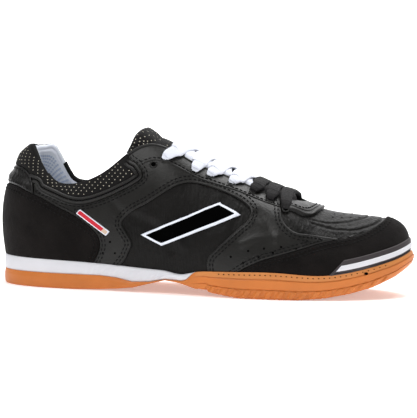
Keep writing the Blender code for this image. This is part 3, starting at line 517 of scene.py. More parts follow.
# How fine the surfaces are: steps round the last, up its wall, across the sole and the tongue
AROUND, UP, SOLE_ACROSS, TONGUE_STEPS = 736, 104, 48, 56
ROLL, SINK = 0.0011, 0.0003
# The sole: how far in its hidden inner edge lies, the pitch of its ribs, and the ring time over
# which the join rises to the edge at the wedge's end
SOLE_INSET, RIB_PITCH, WEDGE_BLEND = GAP - 0.001, 0.0075, 0.018
STITCH_PITCH, STITCH_LONG, STITCH_THICK = 0.0030, 0.0022, 0.00042

# Where the frame's origin is in the coordinates used here
ORIGIN = np.array([0.145533, 0.000519, 0.0])

# Eyelets on the last (ring time and share of the wall), the same on the medial side
EYELETS = [
    (0.4083, 0.803), (0.4300, 0.852), (0.5004, 0.872), (0.5388, 0.890), (0.5900, 0.878),
    (0.6389, 0.872), (0.6765, 0.830), (0.7053, 0.735),
]
# Sewn channels round the vamp, as ring times and shares of the wall
VAMP_RINGS = [
    [
        (0.7541, 0.645), (0.7822, 0.625), (0.8118, 0.641), (0.8526, 0.691), (0.8918, 0.772),
        (0.9279, 0.880), (0.955, 1.0),
    ],
    [
        (0.7573, 0.591), (0.7990, 0.548), (0.8294, 0.544), (0.8534, 0.544), (0.8798, 0.575),
        (0.9038, 0.622), (0.9279, 0.687), (0.9639, 0.815), (1.0, 0.90),
    ],
]
# Perforations of the vamp and pinholes of the quarter, as ring times and shares of the wall
PERFORATIONS = [
    (0.8278, 0.849), (0.8566, 0.892), (0.8870, 0.950), (0.8142, 0.749), (0.8398, 0.776),
    (0.8654, 0.795), (0.8886, 0.811),
]
PINHOLES = [
    (0.6477, 0.239), (0.6837, 0.278), (0.7141, 0.282), (0.6661, 0.208), (0.6357, 0.154),
    (0.6140, 0.201), (0.5764, 0.139), (0.6028, 0.089), (0.3042, 0.247), (0.2890, 0.127),
    (0.3154, 0.127),
]
# Creases seen from the side: points as shares of LENGTH and INSTEP_HEIGHT, then width and height
# in metres (height below 0 is a trough)
CREASES = [
    ([(0.345, 0.520), (0.385, 0.470), (0.420, 0.390), (0.440, 0.300)], 0.0030, -0.0008),
    ([(0.360, 0.560), (0.405, 0.510), (0.445, 0.430), (0.470, 0.330)], 0.0028, 0.0007),
    ([(0.470, 0.720), (0.480, 0.600), (0.475, 0.500)], 0.0026, -0.0007),
    ([(0.500, 0.720), (0.520, 0.620), (0.515, 0.520)], 0.0026, 0.0006),
    ([(0.560, 0.640), (0.555, 0.540), (0.530, 0.440)], 0.0026, -0.0007),
    ([(0.590, 0.600), (0.585, 0.520), (0.560, 0.420)], 0.0022, 0.0005),
    ([(0.640, 0.560), (0.665, 0.480), (0.680, 0.400)], 0.0028, -0.0006),
    ([(0.610, 0.360), (0.640, 0.400), (0.690, 0.420)], 0.0026, 0.0005),
    ([(0.030, 0.800), (0.055, 0.760), (0.085, 0.745)], 0.0022, -0.0007),
    ([(0.020, 0.760), (0.050, 0.715), (0.080, 0.700)], 0.0022, 0.0006),
    ([(0.015, 0.710), (0.045, 0.668), (0.075, 0.655)], 0.0022, -0.0006),
    ([(0.100, 0.420), (0.140, 0.360), (0.150, 0.280)], 0.0040, -0.0005),
    ([(0.180, 0.400), (0.200, 0.330), (0.195, 0.260)], 0.0040, 0.0005),
    ([(0.760, 0.330), (0.800, 0.345), (0.850, 0.350)], 0.0035, -0.0005),
    ([(0.300, 0.600), (0.325, 0.520), (0.330, 0.440)], 0.0026, -0.0005),
]
EMBLEM = [
    (0.369, 0.396), (0.372, 0.388), (0.415, 0.332), (0.424, 0.332), (0.510, 0.438), (0.598, 0.546),
    (0.600, 0.556), (0.556, 0.622), (0.547, 0.624), (0.460, 0.514),
]

# The tongue's free part: back, up, lean, width, and how far its sides go down inside the collar
TONGUE_LOOKS = [
    (0.0, 0.0, 0.0, 1.0, 0.92), (0.012, 0.036, 0.18, 1.0, 0.90), (0.024, 0.060, 0.45, 1.0, 0.86),
    (0.036, 0.076, 0.75, 1.0, 0.82),
]

Skin = namedtuple("Skin", "table faces")


NOISE, CELLS = "ShaderNodeTexNoise", "ShaderNodeTexVoronoi"

# Bumps of the finishes: texture, scale, strength, distance and, for some, a stretch along X, Y, Z
GRAIN = [(CELLS, 900.0, 0.25, 0.0004), (NOISE, 160.0, 0.20, 0.0012)]
WRINKLES = [
    (CELLS, 900.0, 0.25, 0.0004), (CELLS, 260.0, 0.16, 0.0008), (NOISE, 150.0, 0.12, 0.0020),
    (NOISE, 620.0, 0.85, 0.0010, 1.0, 0.6, 0.22),
]
NAP = [(NOISE, 1500.0, 0.55, 0.0006), (NOISE, 220.0, 0.3, 0.0012)]
CLOTH = [(CELLS, 1100.0, 0.5, 0.0006)]
WEAVE = [(CELLS, 1300.0, 0.6, 0.0005)]
PADDING = [(CELLS, 300.0, 0.4, 0.0010)]
THREAD = [(NOISE, 1500.0, 0.3, 0.0002)]
GUM = [(NOISE, 700.0, 0.12, 0.0004)]
RUBBER, SMOOTH = [(NOISE, 900.0, 0.1, 0.0003)], [(NOISE, 900.0, 0.1, 0.0002)]
GREY, TAPE = [(NOISE, 900.0, 0.15, 0.0003)], [(NOISE, 900.0, 0.15, 0.0004)]
DARK = [(NOISE, 900.0, 0.2, 0.0002)]

# Finishes: the material's name, colour, roughness, how much the colour varies, bumps, and the
# specular level, sheen and coat where they aren't the usual ones
FINISHES = {
    "gum": ("gum_rubber", (200, 115, 48), 0.5, 0.07, GUM),
    "gum_band": ("gum_band", (200, 127, 66), 0.5, 0.06, GUM),
    "white": ("white_rubber", (214, 214, 219), 0.5, 0.04, RUBBER),
    "suede": ("black_suede", (19, 16, 15), 0.92, 0.35, NAP, 0.1, 0.05),
    "leather": ("black_leather", (22, 21, 19), 0.36, 0.2, GRAIN, 0.28, 0.0, 0.03),
    "vamp": ("vamp_leather", (20, 19, 18), 0.38, 0.25, WRINKLES, 0.12),
    "gloss": ("gloss_leather", (16, 15, 14), 0.30, 0.2, WRINKLES, 0.30, 0.0, 0.05),
    "mesh": ("dotted_mesh", (20, 19, 19), 0.85, 0.2, CLOTH, 0.15, 0.03),
    "dots": ("mesh_dots", (205, 198, 180), 0.7, 0.10, SMOOTH),
    "lining": ("white_lining", (232, 237, 245), 0.85, 0.04, PADDING),
    "cell": ("lining_cell", (192, 203, 224), 0.85, 0.04, CLOTH),
    "band": ("white_band", (226, 230, 240), 0.7, 0.03, TAPE),
    "rubber": ("grey_rubber", (52, 46, 48), 0.6, 0.08, GREY),
    "lace_white": ("white_lace", (230, 233, 243), 0.8, 0.05, WEAVE),
    "lace_black": ("black_lace", (22, 20, 21), 0.85, 0.15, WEAVE),
    "label": ("red_label", (198, 30, 48), 0.7, 0.08, CLOTH),
    "tan": ("tan_label", (207, 183, 160), 0.7, 0.06, CLOTH),
    # The thread's own black, made darker still as painted shade in the stitch grooves
    "thread": ("black_thread", (9, 9, 9), 0.7, 0.2, THREAD, 0.15),
    # Flat black: the emblem's own black, and painted shade inside the holes and along the foot of
    # the toe strip
    "hole": ("dark_hole", (2, 2, 2), 1.0, 0.2, DARK, 0.02),
    "insole": ("insole_cloth", (150, 152, 158), 0.85, 0.10, CLOTH),
}


def add_node(tree, kind, values, links):
    """A shader node with plain values on some inputs and links on others."""
    node = tree.nodes.new(kind)
    for name, value in values.items():
        if name in node.inputs:
            node.inputs[name].default_value = value
    for name, socket in links.items():
        tree.links.new(socket, node.inputs[name])
    return node


def finish_of(name, colour, roughness, vary, bumps=(), shine=0.4, sheen=0.0, coat=0.0):
    """A procedural finish: colour varied by noise, roughness varied by noise, and layered bumps."""
    mat = bpy.data.materials.new(name)
    mat.use_nodes = True
    tree = mat.node_tree
    shader = tree.nodes["Principled BSDF"]
    coord = tree.nodes.new("ShaderNodeTexCoord").outputs["Object"]

    def texture(kind, scale, where=coord):
        return add_node(tree, kind, {"Scale": scale, "Detail": 4.0}, {"Vector": where})

    ramp = add_node(tree, "ShaderNodeValToRGB", {}, {"Fac": texture(NOISE, 60.0).outputs["Fac"]})
    for stop, place, change in zip(ramp.color_ramp.elements, (0.3, 0.72), (-vary, vary)):
        stop.position = place
        stop.color = (*(min(1.0, c * (1 + change)) for c in srgb(*colour)[:3]), 1)
    tree.links.new(ramp.outputs["Color"], shader.inputs["Base Color"])
    spread = add_node(
        tree, "ShaderNodeMapRange",
        {"To Min": max(0.05, roughness - 0.07), "To Max": min(1.0, roughness + 0.07)},
        {"Value": texture(NOISE, 420.0).outputs["Fac"]},
    )
    tree.links.new(spread.outputs["Result"], shader.inputs["Roughness"])
    shader.inputs["Specular IOR Level"].default_value = shine
    shader.inputs["Sheen Weight"].default_value = sheen
    shader.inputs["Coat Weight"].default_value = coat
    shader.inputs["Coat Roughness"].default_value = 0.25
    normal = {}
    for kind, scale, strength, distance, *stretch in bumps:
        where = coord
        if stretch:
            mapping = add_node(tree, "ShaderNodeMapping", {"Scale": stretch}, {"Vector": coord})
            where = mapping.outputs["Vector"]
        height = texture(kind, scale, where).outputs["Distance" if kind == CELLS else "Fac"]
        values = {"Strength": strength, "Distance": distance}
        bump = add_node(tree, "ShaderNodeBump", values, {"Height": height, **normal})
        normal = {"Normal": bump.outputs["Normal"]}
    for socket in normal.values():
        tree.links.new(socket, shader.inputs["Normal"])
    return mat


def piece(name, parts, mat, nodes=(), merge=0.0):
    """One shown mesh from (points, faces) parts, riding on the shoe."""
    verts, faces, base = [], [], 0
    for points, polys in parts:
        points = np.asarray(points).reshape(-1, 3)
        for group in polys if isinstance(polys, list) else [polys]:
            faces += (np.asarray(group) + base).tolist()
        verts.append(points)
        base += len(points)
    mesh = bpy.data.meshes.new(name)
    mesh.from_pydata((np.concatenate(verts) - ORIGIN).tolist(), [], faces)
    bm = bmesh.new()
    bm.from_mesh(mesh)
    if merge:
        bmesh.ops.remove_doubles(bm, verts=bm.verts, dist=merge)
        bmesh.ops.dissolve_degenerate(bm, edges=bm.edges, dist=merge / 4)
    bm.to_mesh(mesh)
    bm.free()
    mesh.shade_smooth()
    mesh.materials.append(mat)
    obj = bpy.data.objects.new(name, mesh)
    bpy.context.scene.collection.objects.link(obj)
    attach(obj, "root")
    if nodes:
        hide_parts(*nodes)
    return obj


def grid_faces(rows, columns, closed=False, flip=False):
    """Quads between the neighbours of a grid whose columns may close on themselves."""
    i, j = np.meshgrid(
        np.arange(rows - 1), np.arange(columns if closed else columns - 1), indexing="ij"
    )
    k = (j + 1) % columns
    quads = np.stack(
        [i * columns + j, (i + 1) * columns + j, (i + 1) * columns + k, i * columns + k], -1
    )
    quads = quads.reshape(-1, 4)
    return quads[:, ::-1] if flip else quads


def line_distance(points, line):
    best = np.full(len(points), 1.0)
    for a, b in zip(line, line[1:]):
        way = b - a
        share = np.clip((points - a) @ way / (way @ way), 0, 1)
        best = np.minimum(best, np.linalg.norm(points - a - share[:, None] * way, axis=1))
    return best


def smooth_line(marks, steps=10):
    """An open curve through the marks."""
    marks = np.array(marks, float)
    marks = np.concatenate([[2 * marks[0] - marks[1]], marks, [2 * marks[-1] - marks[-2]]])
    share = np.arange(steps)[:, None] / steps
    found = []
    for p0, p1, p2, p3 in zip(marks, marks[1:], marks[2:], marks[3:]):
        found.append(
            p1
            + share * (p2 - p0) / 2
            + share**2 * (2 * p0 - 5 * p1 + 4 * p2 - p3) / 2
            + share**3 * (3 * p1 - p0 - 3 * p2 + p3) / 2
        )
    return np.concatenate(found + [marks[-2:-1]])


def on_last(line):
    line = smooth_line(line)
    return last_surface(line[:, 0], line[:, 1])


def relief(u, v):
    """Creases and sewn channels: how far they move the skin outwards."""
    points = last_surface(u, v)
    side = points[:, [0, 2]]
    move = np.zeros(len(points))
    for marks, width, height in CREASES:
        line = smooth_line(np.array(marks) * [LENGTH, INSTEP_HEIGHT])
        move += height * np.exp(-((line_distance(side, line) / width) ** 2))
    move *= np.where(u > 1, 0.7, 1.0)
    for ring in VAMP_RINGS:
        line = on_last(ring)
        both = np.minimum(
            line_distance(points, line),
            line_distance(points, on_last([(2 - a, b) for a, b in ring])),
        )
        move -= 0.0006 * np.exp(-((both / 0.0008) ** 2))
        move += 0.0002 * np.exp(-(((both - 0.0022) / 0.0014) ** 2))
    return move


def skin_of_last():
    u, v = np.meshgrid(np.linspace(0, 2, AROUND + 1), np.linspace(0, 1, UP + 1), indexing="ij")
    u, v = u.ravel(), v.ravel()
    fields = skin_fields(last_surface(u, v), RING(u)[:, 2])
    wall = np.linalg.norm(last_surface(u, 1.0) - last_surface(u, 0.0), axis=1)
    ahead = np.maximum(RING(u)[:, TOP_X] - THROAT_FRONT * LENGTH, 0)
    fields["from_top"] = np.hypot((1 - v) * wall, ahead)
    fields["relief"] = relief(u, v)
    quads = grid_faces(AROUND + 1, UP + 1)
    faces = np.concatenate([quads[:, [0, 1, 2]], quads[:, [0, 2, 3]]])
    return Skin(np.stack([u, v, *fields.values()], axis=1), faces), ["u", "v", *fields]


SKIN, NAMES = skin_of_last()


def column(skin, name):
    return skin.table[:, NAMES.index(name)]


def cut(skin, values):
    """Cuts every triangle where values cross 0: the table with the new points, faces, crossings."""
    values = np.where(abs(values) < SNAP, SNAP, values)
    table, faces = skin
    inside = values < 0
    count = inside[faces].sum(axis=1)
    groups = []
    for found, odd in ((faces[count == 1], inside), (faces[count == 2], ~inside)):
        first = np.argmax(odd[found], axis=1)
        groups.append(found[np.arange(len(found))[:, None], (first[:, None] + [0, 1, 2]) % 3])
    one = len(groups[0])
    a, b, c = np.concatenate(groups).T
    ends = np.sort(np.concatenate([np.stack([a, b], 1), np.stack([a, c], 1)]), axis=1)
    edges, place = np.unique(ends, axis=0, return_inverse=True)
    place = place.reshape(-1) + len(table)
    low, high = edges.T
    share = (values[low] / (values[low] - values[high]))[:, None]
    table = np.concatenate([table, table[low] * (1 - share) + table[high] * share])
    ab, ac = place[: len(a)], place[len(a) :]
    tip = np.stack([a, ab, ac], 1)
    rest = np.stack([np.stack([ab, b, c], 1), np.stack([ab, c, ac], 1)], 1)
    kept = np.concatenate([faces[count == 3], tip[:one], rest[one:].reshape(-1, 3)])
    left = np.concatenate([faces[count == 0], tip[one:], rest[:one].reshape(-1, 3)])
    return table, kept, left, np.stack([ab, ac], 1)


def used(table, faces):
    kept, place = np.unique(faces, return_inverse=True)
    return Skin(table[kept], place.reshape(-1, 3))


def clip(skin, values):
    table, kept, _, _ = cut(skin, values)
    return used(table, kept)


def split(skin, values):
    table, kept, left, _ = cut(skin, values)
    return Skin(table, np.concatenate([kept, left]))


def contours(skin, values):
    """Lines on the skin where values are 0, as rows of the table."""
    table, _, _, pairs = cut(skin, values)
    near = {}
    for a, b in pairs.tolist():
        near.setdefault(a, []).append(b)
        near.setdefault(b, []).append(a)
    lines, seen = [], set()
    for start in sorted(near, key=lambda k: len(near[k])):
        if start in seen:
            continue
        line, at = [start], start
        seen.add(start)
        while True:
            after = [k for k in near[at] if k not in seen]
            if not after:
                break
            at = after[0]
            seen.add(at)
            line.append(at)
        if len(line) > 3:
            if len(near[start]) > 1 and start in near[at]:
                line.append(start)
            lines.append(table[line])
    return lines


def border(skin, limits):
    """The distance inwards from the nearest of the limits that cut this panel."""
    found = []
    for name, (side, limit) in limits.items():
        values = column(skin, name) - limit
        found.append(-values if side == "below" else values)
    return np.min(found, axis=0)


def rolled(depth, thick, roll):
    share = np.clip(depth / roll, 0, 1)
    return -SINK + (thick + SINK) * np.sqrt(1 - (1 - share) ** 2)


def panel_skin(limits, half=0):
    skin = SKIN
    if half:
        y = last_surface(skin.table[:, 0], skin.table[:, 1])[skin.faces].mean(axis=1)[:, 1]
        skin = used(skin.table, skin.faces[y * half > 0])
    for name, (side, limit) in limits.items():
        values = column(skin, name) - limit
        skin = clip(skin, values if side == "below" else -values)
    return skin


def panel(
    name, limits, thick, mat, nodes=(), half=0, at_top=True, low=0.0, roll=ROLL, dome=None
):
    """An overlay cut from the skin, its edges rolled down into what lies below."""
    skin = panel_skin(limits, half)
    edge = dict(limits)
    if at_top:
        edge["from_top"] = ("over", 0.0)
    for share in (0.15, 0.5, 1.0):
        skin = split(skin, border(skin, edge) - roll * share)
    depth = border(skin, edge)
    u, v = skin.table[:, 0], skin.table[:, 1]
    offset = low + rolled(depth, thick, roll) + column(skin, "relief")
    if dome:
        height, width = dome
        share = np.clip(depth / width, 0, 1)
        offset += height * share * (2 - share)
        if not at_top:
            top = np.clip(column(skin, "from_top") / 0.008, 0, 1)
            offset = offset * top + 0.0014 * (1 - top)
    points = off_last(u, v, offset)
    return piece(name, [(points, skin.faces)], mat, nodes, merge=2e-5), skin, edge


def capsules(points, ways, normals, long, thick):
    """Small rounded stitches, one at each point."""
    across = np.cross(normals, ways)
    verts = []
    for along in (-0.36, 0.36):
        for k in range(6):
            angle = k * math.pi / 3
            verts.append(
                points + ways * along * long
                + (across * math.cos(angle) + normals * math.sin(angle)) * thick
            )
    verts += [points - ways * long / 2, points + ways * long / 2]
    verts = np.stack(verts, axis=1)
    k = np.arange(6)
    n = (k + 1) % 6
    quads = np.stack([k, n, n + 6, k + 6], 1)
    tips = np.concatenate(
        [np.stack([n, k, 0 * k + 12], 1), np.stack([k + 6, n + 6, 0 * k + 13], 1)]
    )
    base = (np.arange(len(points)) * 14)[:, None, None]
    return verts, [(quads[None] + base).reshape(-1, 4), (tips[None] + base).reshape(-1, 3)]


def resampled(line, pitch):
    """Rows of a table line at even distances."""
    points = last_surface(line[:, 0], line[:, 1])
    far = np.append(0, np.cumsum(np.linalg.norm(np.diff(points, axis=0), axis=1)))
    count = int(far[-1] / pitch)
    if count < 2:
        return None
    at = (np.arange(count) + 0.5) * far[-1] / count
    return np.stack([np.interp(at, far, line[:, k]) for k in range(line.shape[1])], axis=1)


def stitches(skin, edge, depth, height, pitch=STITCH_PITCH, only=None):
    """Stitches along the line at a depth inside a panel's borders."""
    found = []
    for line in contours(skin, border(skin, edge) - depth):
        line = resampled(line, pitch)
        if line is None:
            continue
        if only:
            line = line[only(line)]
        if len(line) < 3:
            continue
        u, v = line[:, 0], line[:, 1]
        offset = height + line[:, NAMES.index("relief")]
        points = off_last(u, v, offset)
        ways = unit(np.gradient(points, axis=0))
        found.append(capsules(points, ways, last_normal(u, v), STITCH_LONG, STITCH_THICK))
    return found


def tube(centre, normals, radius, sides=8):
    """A round cord along a line."""
    ways = unit(np.gradient(centre, axis=0))
    side = unit(np.cross(ways, normals))
    out = unit(np.cross(side, ways))
    angles = np.arange(sides) * 2 * math.pi / sides
    ring = (
        side[:, None] * np.cos(angles)[None, :, None]
        + out[:, None] * np.sin(angles)[None, :, None]
    )
    radius = np.broadcast_to(radius, len(centre))[:, None, None]
    verts = centre[:, None] + ring * radius
    ends = np.stack([centre[0], centre[-1]])
    faces = [grid_faces(len(centre), sides, closed=True)]
    k = np.arange(sides)
    n = (k + 1) % sides
    total = len(centre) * sides
    faces.append(np.stack([n, k, 0 * k + total], 1))
    faces.append(np.stack([k + total - sides, n + total - sides, 0 * k + total + 1], 1))
    return np.concatenate([verts.reshape(-1, 3), ends]), faces


def cord_along(skin, edge, depth, height, radius, only=None):
    """Round cords along the line at a depth inside a panel's borders."""
    found = []
    for line in contours(skin, border(skin, edge) - depth):
        if only:
            line = line[only(line)]
        if len(line) < 6:
            continue
        line = resampled(line, 0.0012)
        if line is None:
            continue
        u, v = line[:, 0], line[:, 1]
        points = off_last(u, v, height + line[:, NAMES.index("relief")])
        found.append(tube(points, last_normal(u, v), radius))
    return found


def discs(places, radius, height, sides=12):
    """Small domed discs on the last, at ring times and shares of the wall."""
    places = np.array(places, float)
    u, v = places[:, 0], places[:, 1]
    centre = off_last(u, v, np.full(len(u), height) + relief(u, v))
    normal = last_normal(u, v)
    along = unit(last_surface(u + 1e-3, v) - last_surface(u - 1e-3, v))
    across = np.cross(normal, along)
    angles = np.arange(sides) * 2 * math.pi / sides
    rim = centre[:, None] + radius * (
        along[:, None] * np.cos(angles)[None, :, None]
        + across[:, None] * np.sin(angles)[None, :, None]
    )
    verts = np.concatenate(
        [rim - normal[:, None] * 0.0002, centre[:, None] + normal[:, None] * 0.0001], axis=1
    )
    k = np.arange(sides)
    tris = np.stack([k, (k + 1) % sides, 0 * k + sides], 1)
    base = (np.arange(len(u)) * (sides + 1))[:, None, None]
    return verts, (tris[None] + base).reshape(-1, 3)


def mirrored(places):
    """The places and their mirror images on the other side."""
    return list(places) + [(2 - u, v) for u, v in places]


def build_upper(mats):
    """The leather shell, with its skirt inside the sole."""
    u = np.linspace(0, 2, AROUND + 1)
    inner_v = np.append(np.linspace(1, 0, UP // 4 + 1), -1.0)
    outer = np.concatenate([[-1.0], np.linspace(0, 1, UP + 1)])
    uu, vv = np.meshgrid(u, outer, indexing="ij")
    move = column(SKIN, "relief").reshape(AROUND + 1, UP + 1)
    move = np.concatenate([move[:, :1], move], axis=1)
    outside = off_last(uu, vv, move)
    uu, vv = np.meshgrid(u, inner_v, indexing="ij")
    inside = off_last(uu, vv, np.full(uu.shape, -WALL))
    points = np.concatenate([outside, inside], axis=1)
    columns = points.shape[1]
    quads = grid_faces(len(u), columns)
    rim = quads[:, 0] % columns == len(outer) - 1
    row = quads[:, 0] // columns
    half = np.minimum(u[row], 2 - u[row])
    closed = rim & (half > time_where(TOP_X, THROAT_FRONT) - 1e-6)
    obj = piece(
        "upper_shell", [(points, quads[~closed])], mats["vamp"], ["upper"], merge=2e-5
    )
    return obj


OVER, UNDER = ("over", 0.0), ("below", 0.0)
SEAT = {"over_edge": ("over", -0.0004)}
WELD = 2e-5
# How far inside a panel's edge its rows of stitches run
SUEDE_ROWS, QUARTER_ROWS = (0.0018, 0.0040), (0.0018, 0.0038)


def beyond(**least):
    """A test of which points of a line lie beyond each field's least value."""
    return lambda line: np.all([line[:, NAMES.index(n)] > v for n, v in least.items()], axis=0)


def on_skin(skin, offset):
    """The skin's own points, moved off the last."""
    return off_last(skin.table[:, 0], skin.table[:, 1], offset)


def build_panels(mats):
    """The sewn overlays with their stitches and cords."""
    threads, cords, panels = [], [], {}
    around = {"counter": OVER, "mudguard": OVER, "collar": OVER, "tab": OVER}
    quarter = {"quarter": UNDER, "window": OVER, **around, **SEAT}
    throat_tab = {"throat_tab": UNDER, "quarter": OVER, "mudguard": OVER}
    for name, limits, height, mat, node, half, depths in (
        (
            "counter_suede", {"counter": UNDER, **SEAT}, 0.0013, "suede", "heel_counter", 0,
            SUEDE_ROWS,
        ),
        ("tab_gloss", {"tab": UNDER, "counter": OVER}, 0.0015, "gloss", "heel_tab", 0, [0.0018]),
        ("mudguard_suede", {"mudguard": UNDER, **SEAT}, 0.0013, "suede", "mudguard", 0, SUEDE_ROWS),
        ("quarter_outer", quarter, 0.0012, "leather", "quarter_lateral", -1, QUARTER_ROWS),
        ("quarter_inner", quarter, 0.0012, "leather", "quarter_medial", 1, QUARTER_ROWS),
        ("vamp_tab", throat_tab, 0.0020, "leather", "throat_tab", 0, [0.0056]),
    ):
        _, made, edge = panel(name, limits, height, mats[mat], [node], half=half)
        panels[name] = made
        sewn = {key: value for key, value in edge.items() if key not in ("over_edge", "from_top")}
        for depth in depths:
            threads += stitches(made, sewn, depth, 0.0021 if name == "vamp_tab" else 0.0013)
    collar, skin, _ = panel(
        "collar_pad", {"collar": UNDER, "counter": OVER, "tab": OVER}, 0.0010, mats["mesh"],
        ["collar"], at_top=False, dome=(0.0022, 0.012),
    )
    # The double cord under the collar, the throat's piping and the tab's thick edge
    front = beyond(from_top=0.004)
    for depth, height, radius in ((0.0006, 0.0013, 0.0011), (0.0034, 0.0019, 0.0010)):
        cords += cord_along(skin, {"collar": UNDER}, depth, height, radius, front)
    quarters = [panels["quarter_outer"], panels["quarter_inner"]]
    for made in quarters:
        cords += cord_along(made, {"from_top": OVER}, 0.0012, 0.0010, 0.0009)
    for depth, height, radius in ((0.0008, 0.0014, 0.0010), (0.0036, 0.0016, 0.0009)):
        clear = beyond(quarter=0.0035)
        edge = {"throat_tab": UNDER}
        cords += cord_along(panels["vamp_tab"], edge, depth, height, radius, clear)
    rows = beyond(collar=0.004, window=0.004)
    for made in quarters:
        raised = beyond(over_edge=0.010)
        cords += cord_along(made, {"quarter": UNDER}, 0.0006, 0.0006, 0.0009, raised)
        cords += cord_along(made, {"from_top": OVER}, 0.0135, 0.0011, 0.0007, rows)
        threads += stitches(made, {"from_top": OVER}, 0.0118, 0.0013, only=rows)
    for made in quarters:
        cords += cord_along(made, {"window": OVER}, 0.0004, 0.0006, 0.0007)
    piece("stitching", threads, mats["thread"])
    piece("piping", cords, mats["leather"])


# The mesh's dots: rows up the wall, with their distances along, up and aslant
DOT_ROWS = range(28, 52)
DOT_PITCH = 0.0038
DOT_RISE = 0.0021
DOT_SLANT = 0.0013
DOT_SIZE = 0.00042


def build_mesh_dots(mats):
    """The pale dots of the collar's mesh, in slanted rows."""
    ring_u = np.linspace(0, 2, 1201)
    line = last_surface(ring_u, 0.72)
    far = np.append(0, np.cumsum(np.linalg.norm(np.diff(line, axis=0), axis=1)))
    rise = np.linspace(0, 1, 120)
    places = []
    for row in DOT_ROWS:
        for at in np.arange(0, far[-1], DOT_PITCH):
            at_u = np.interp(np.mod(at - row * DOT_SLANT, far[-1]), far, ring_u)
            height = last_surface(at_u, rise)[:, 2]
            if height.max() > row * DOT_RISE:
                places.append((at_u, np.interp(row * DOT_RISE, height, rise)))
    u, v = np.array(places).T
    fields = skin_fields(last_surface(u, v), RING(u)[:, 2])
    on_mesh = (fields["counter"] > 0.002) & (fields["tab"] > 0.002)
    inside = (fields["collar"] < -0.0055) & (v < 0.985) & on_mesh
    places = np.stack([u[inside], v[inside]], 1)
    depth = np.minimum(np.minimum(-fields["collar"], fields["counter"]), fields["tab"])[inside]
    share = np.clip(depth / 0.012, 0, 1)
    wall = np.linalg.norm(last_surface(places[:, 0], 1.0) - last_surface(places[:, 0], 0.0), axis=1)
    top = np.clip((1 - places[:, 1]) * wall / 0.008, 0, 1)
    height = (0.0010 + 0.0022 * share * (2 - share)) * top + 0.0014 * (1 - top) + 0.00012
    piece("collar_dots", [discs(places, DOT_SIZE, height, 7)], mats["dots"])


def build_holes(mats):
    """Eyelets with their rims, the vamp's perforations and the quarter's pinholes; each hole is a
    black disc of painted shade.
    """
    piece(
        "eyelet_holes",
        [
            discs(mirrored(EYELETS), 0.0019, 0.00135, 14),
            discs(mirrored(EYELETS[:1]), 0.0028, 0.00145, 18),
        ],
        mats["hole"],
    )
    rings = []
    for u0, v0 in mirrored(EYELETS):
        angle = np.linspace(0, 2 * math.pi, 19)
        along = unit(last_surface(u0 + 1e-3, v0) - last_surface(u0 - 1e-3, v0))
        normal = last_normal(u0, v0)
        centre = off_last(u0, v0, 0.0013 + relief(np.array([u0]), np.array([v0]))[0])
        line = centre + 0.0021 * (
            np.cos(angle)[:, None] * along + np.sin(angle)[:, None] * np.cross(normal, along)
        )
        rings.append(tube(line, np.broadcast_to(normal, line.shape), 0.0005))
    piece("eyelet_rims", rings, mats["leather"])
    piece("vamp_holes", [discs(mirrored(PERFORATIONS), 0.0008, 0.0002, 8)], mats["hole"])
    piece(
        "quarter_holes", [discs(mirrored(PINHOLES), 0.0008, 0.0014, 8)], mats["hole"],
    )


def build_strip(mats):
    """The toe's rubber strip, cut off at a slant behind, with its white line and a black band of
    painted shade along its foot.
    """

    def ahead(skin, share):
        x = last_surface(skin.table[:, 0], skin.table[:, 1])[:, 0]
        return (x - share * LENGTH - column(skin, "over_edge") * 1.1) * 0.7

    def edge_values(skin):
        return np.minimum(ahead(skin, 0.806), 0.0088 - column(skin, "over_edge"))

    skin = panel_skin(SEAT)
    skin = clip(skin, -edge_values(skin))
    for share in (0.2, 0.6, 1.0):
        skin = split(skin, edge_values(skin) - 0.0008 * share)
    offset = 0.0010 + rolled(edge_values(skin), 0.0012, 0.0008)
    shape = (on_skin(skin, offset), skin.faces)
    piece("strip_rubber", [shape], mats["rubber"], ["toe_strip"], merge=WELD)
    for name, low, high, height, mat in (
        ("strip_line", 0.0022, 0.0056, 0.0010, "white"),
        # A black band of painted shade along the strip's foot, just above the sole
        ("strip_shade", 0.0008, 0.0015, 0.0006, "hole"),
    ):

        def inside(skin, low=low, high=high):
            rise = column(skin, "over_edge")
            return np.minimum.reduce([rise - low, high - rise, ahead(skin, 0.812)])

        skin = panel_skin(SEAT)
        skin = clip(skin, -inside(skin))
        for share in (0.3, 0.8):
            skin = split(skin, inside(skin) - 0.0006 * share)
        offset = 0.0019 + rolled(inside(skin), height, 0.0006)
        piece(name, [(on_skin(skin, offset), skin.faces)], mats[mat], merge=WELD)


def build_label(mats):
    """The woven label: a white edge, a red field and a tan square."""

    def inside(skin):
        return -np.max([column(skin, f"label{i}") for i in range(4)], axis=0)

    y = last_surface(SKIN.table[:, 0], SKIN.table[:, 1])[SKIN.faces].mean(axis=1)[:, 1]
    outer = used(SKIN.table, SKIN.faces[y < 0])
    skin = clip(outer, -inside(outer))
    for share in (0.0003, 0.0008):
        skin = split(skin, inside(skin) - share)
    offset = 0.0011 + rolled(inside(skin), 0.0008, 0.0005)
    points = on_skin(skin, offset)
    middle = inside(skin)[skin.faces].mean(axis=1) > 0.0008
    square = middle & (column(skin, "label2")[skin.faces].mean(axis=1) > -0.0046)
    for name, shown, mat, stands_for in (
        ("label_edge", ~middle, "band", []),
        ("label_cloth", middle & ~square, "label", ["side_label"]),
        ("label_square", square, "tan", []),
    ):
        shape = (points, skin.faces[shown])
        piece(name, [shape], mats[mat], stands_for, merge=WELD)


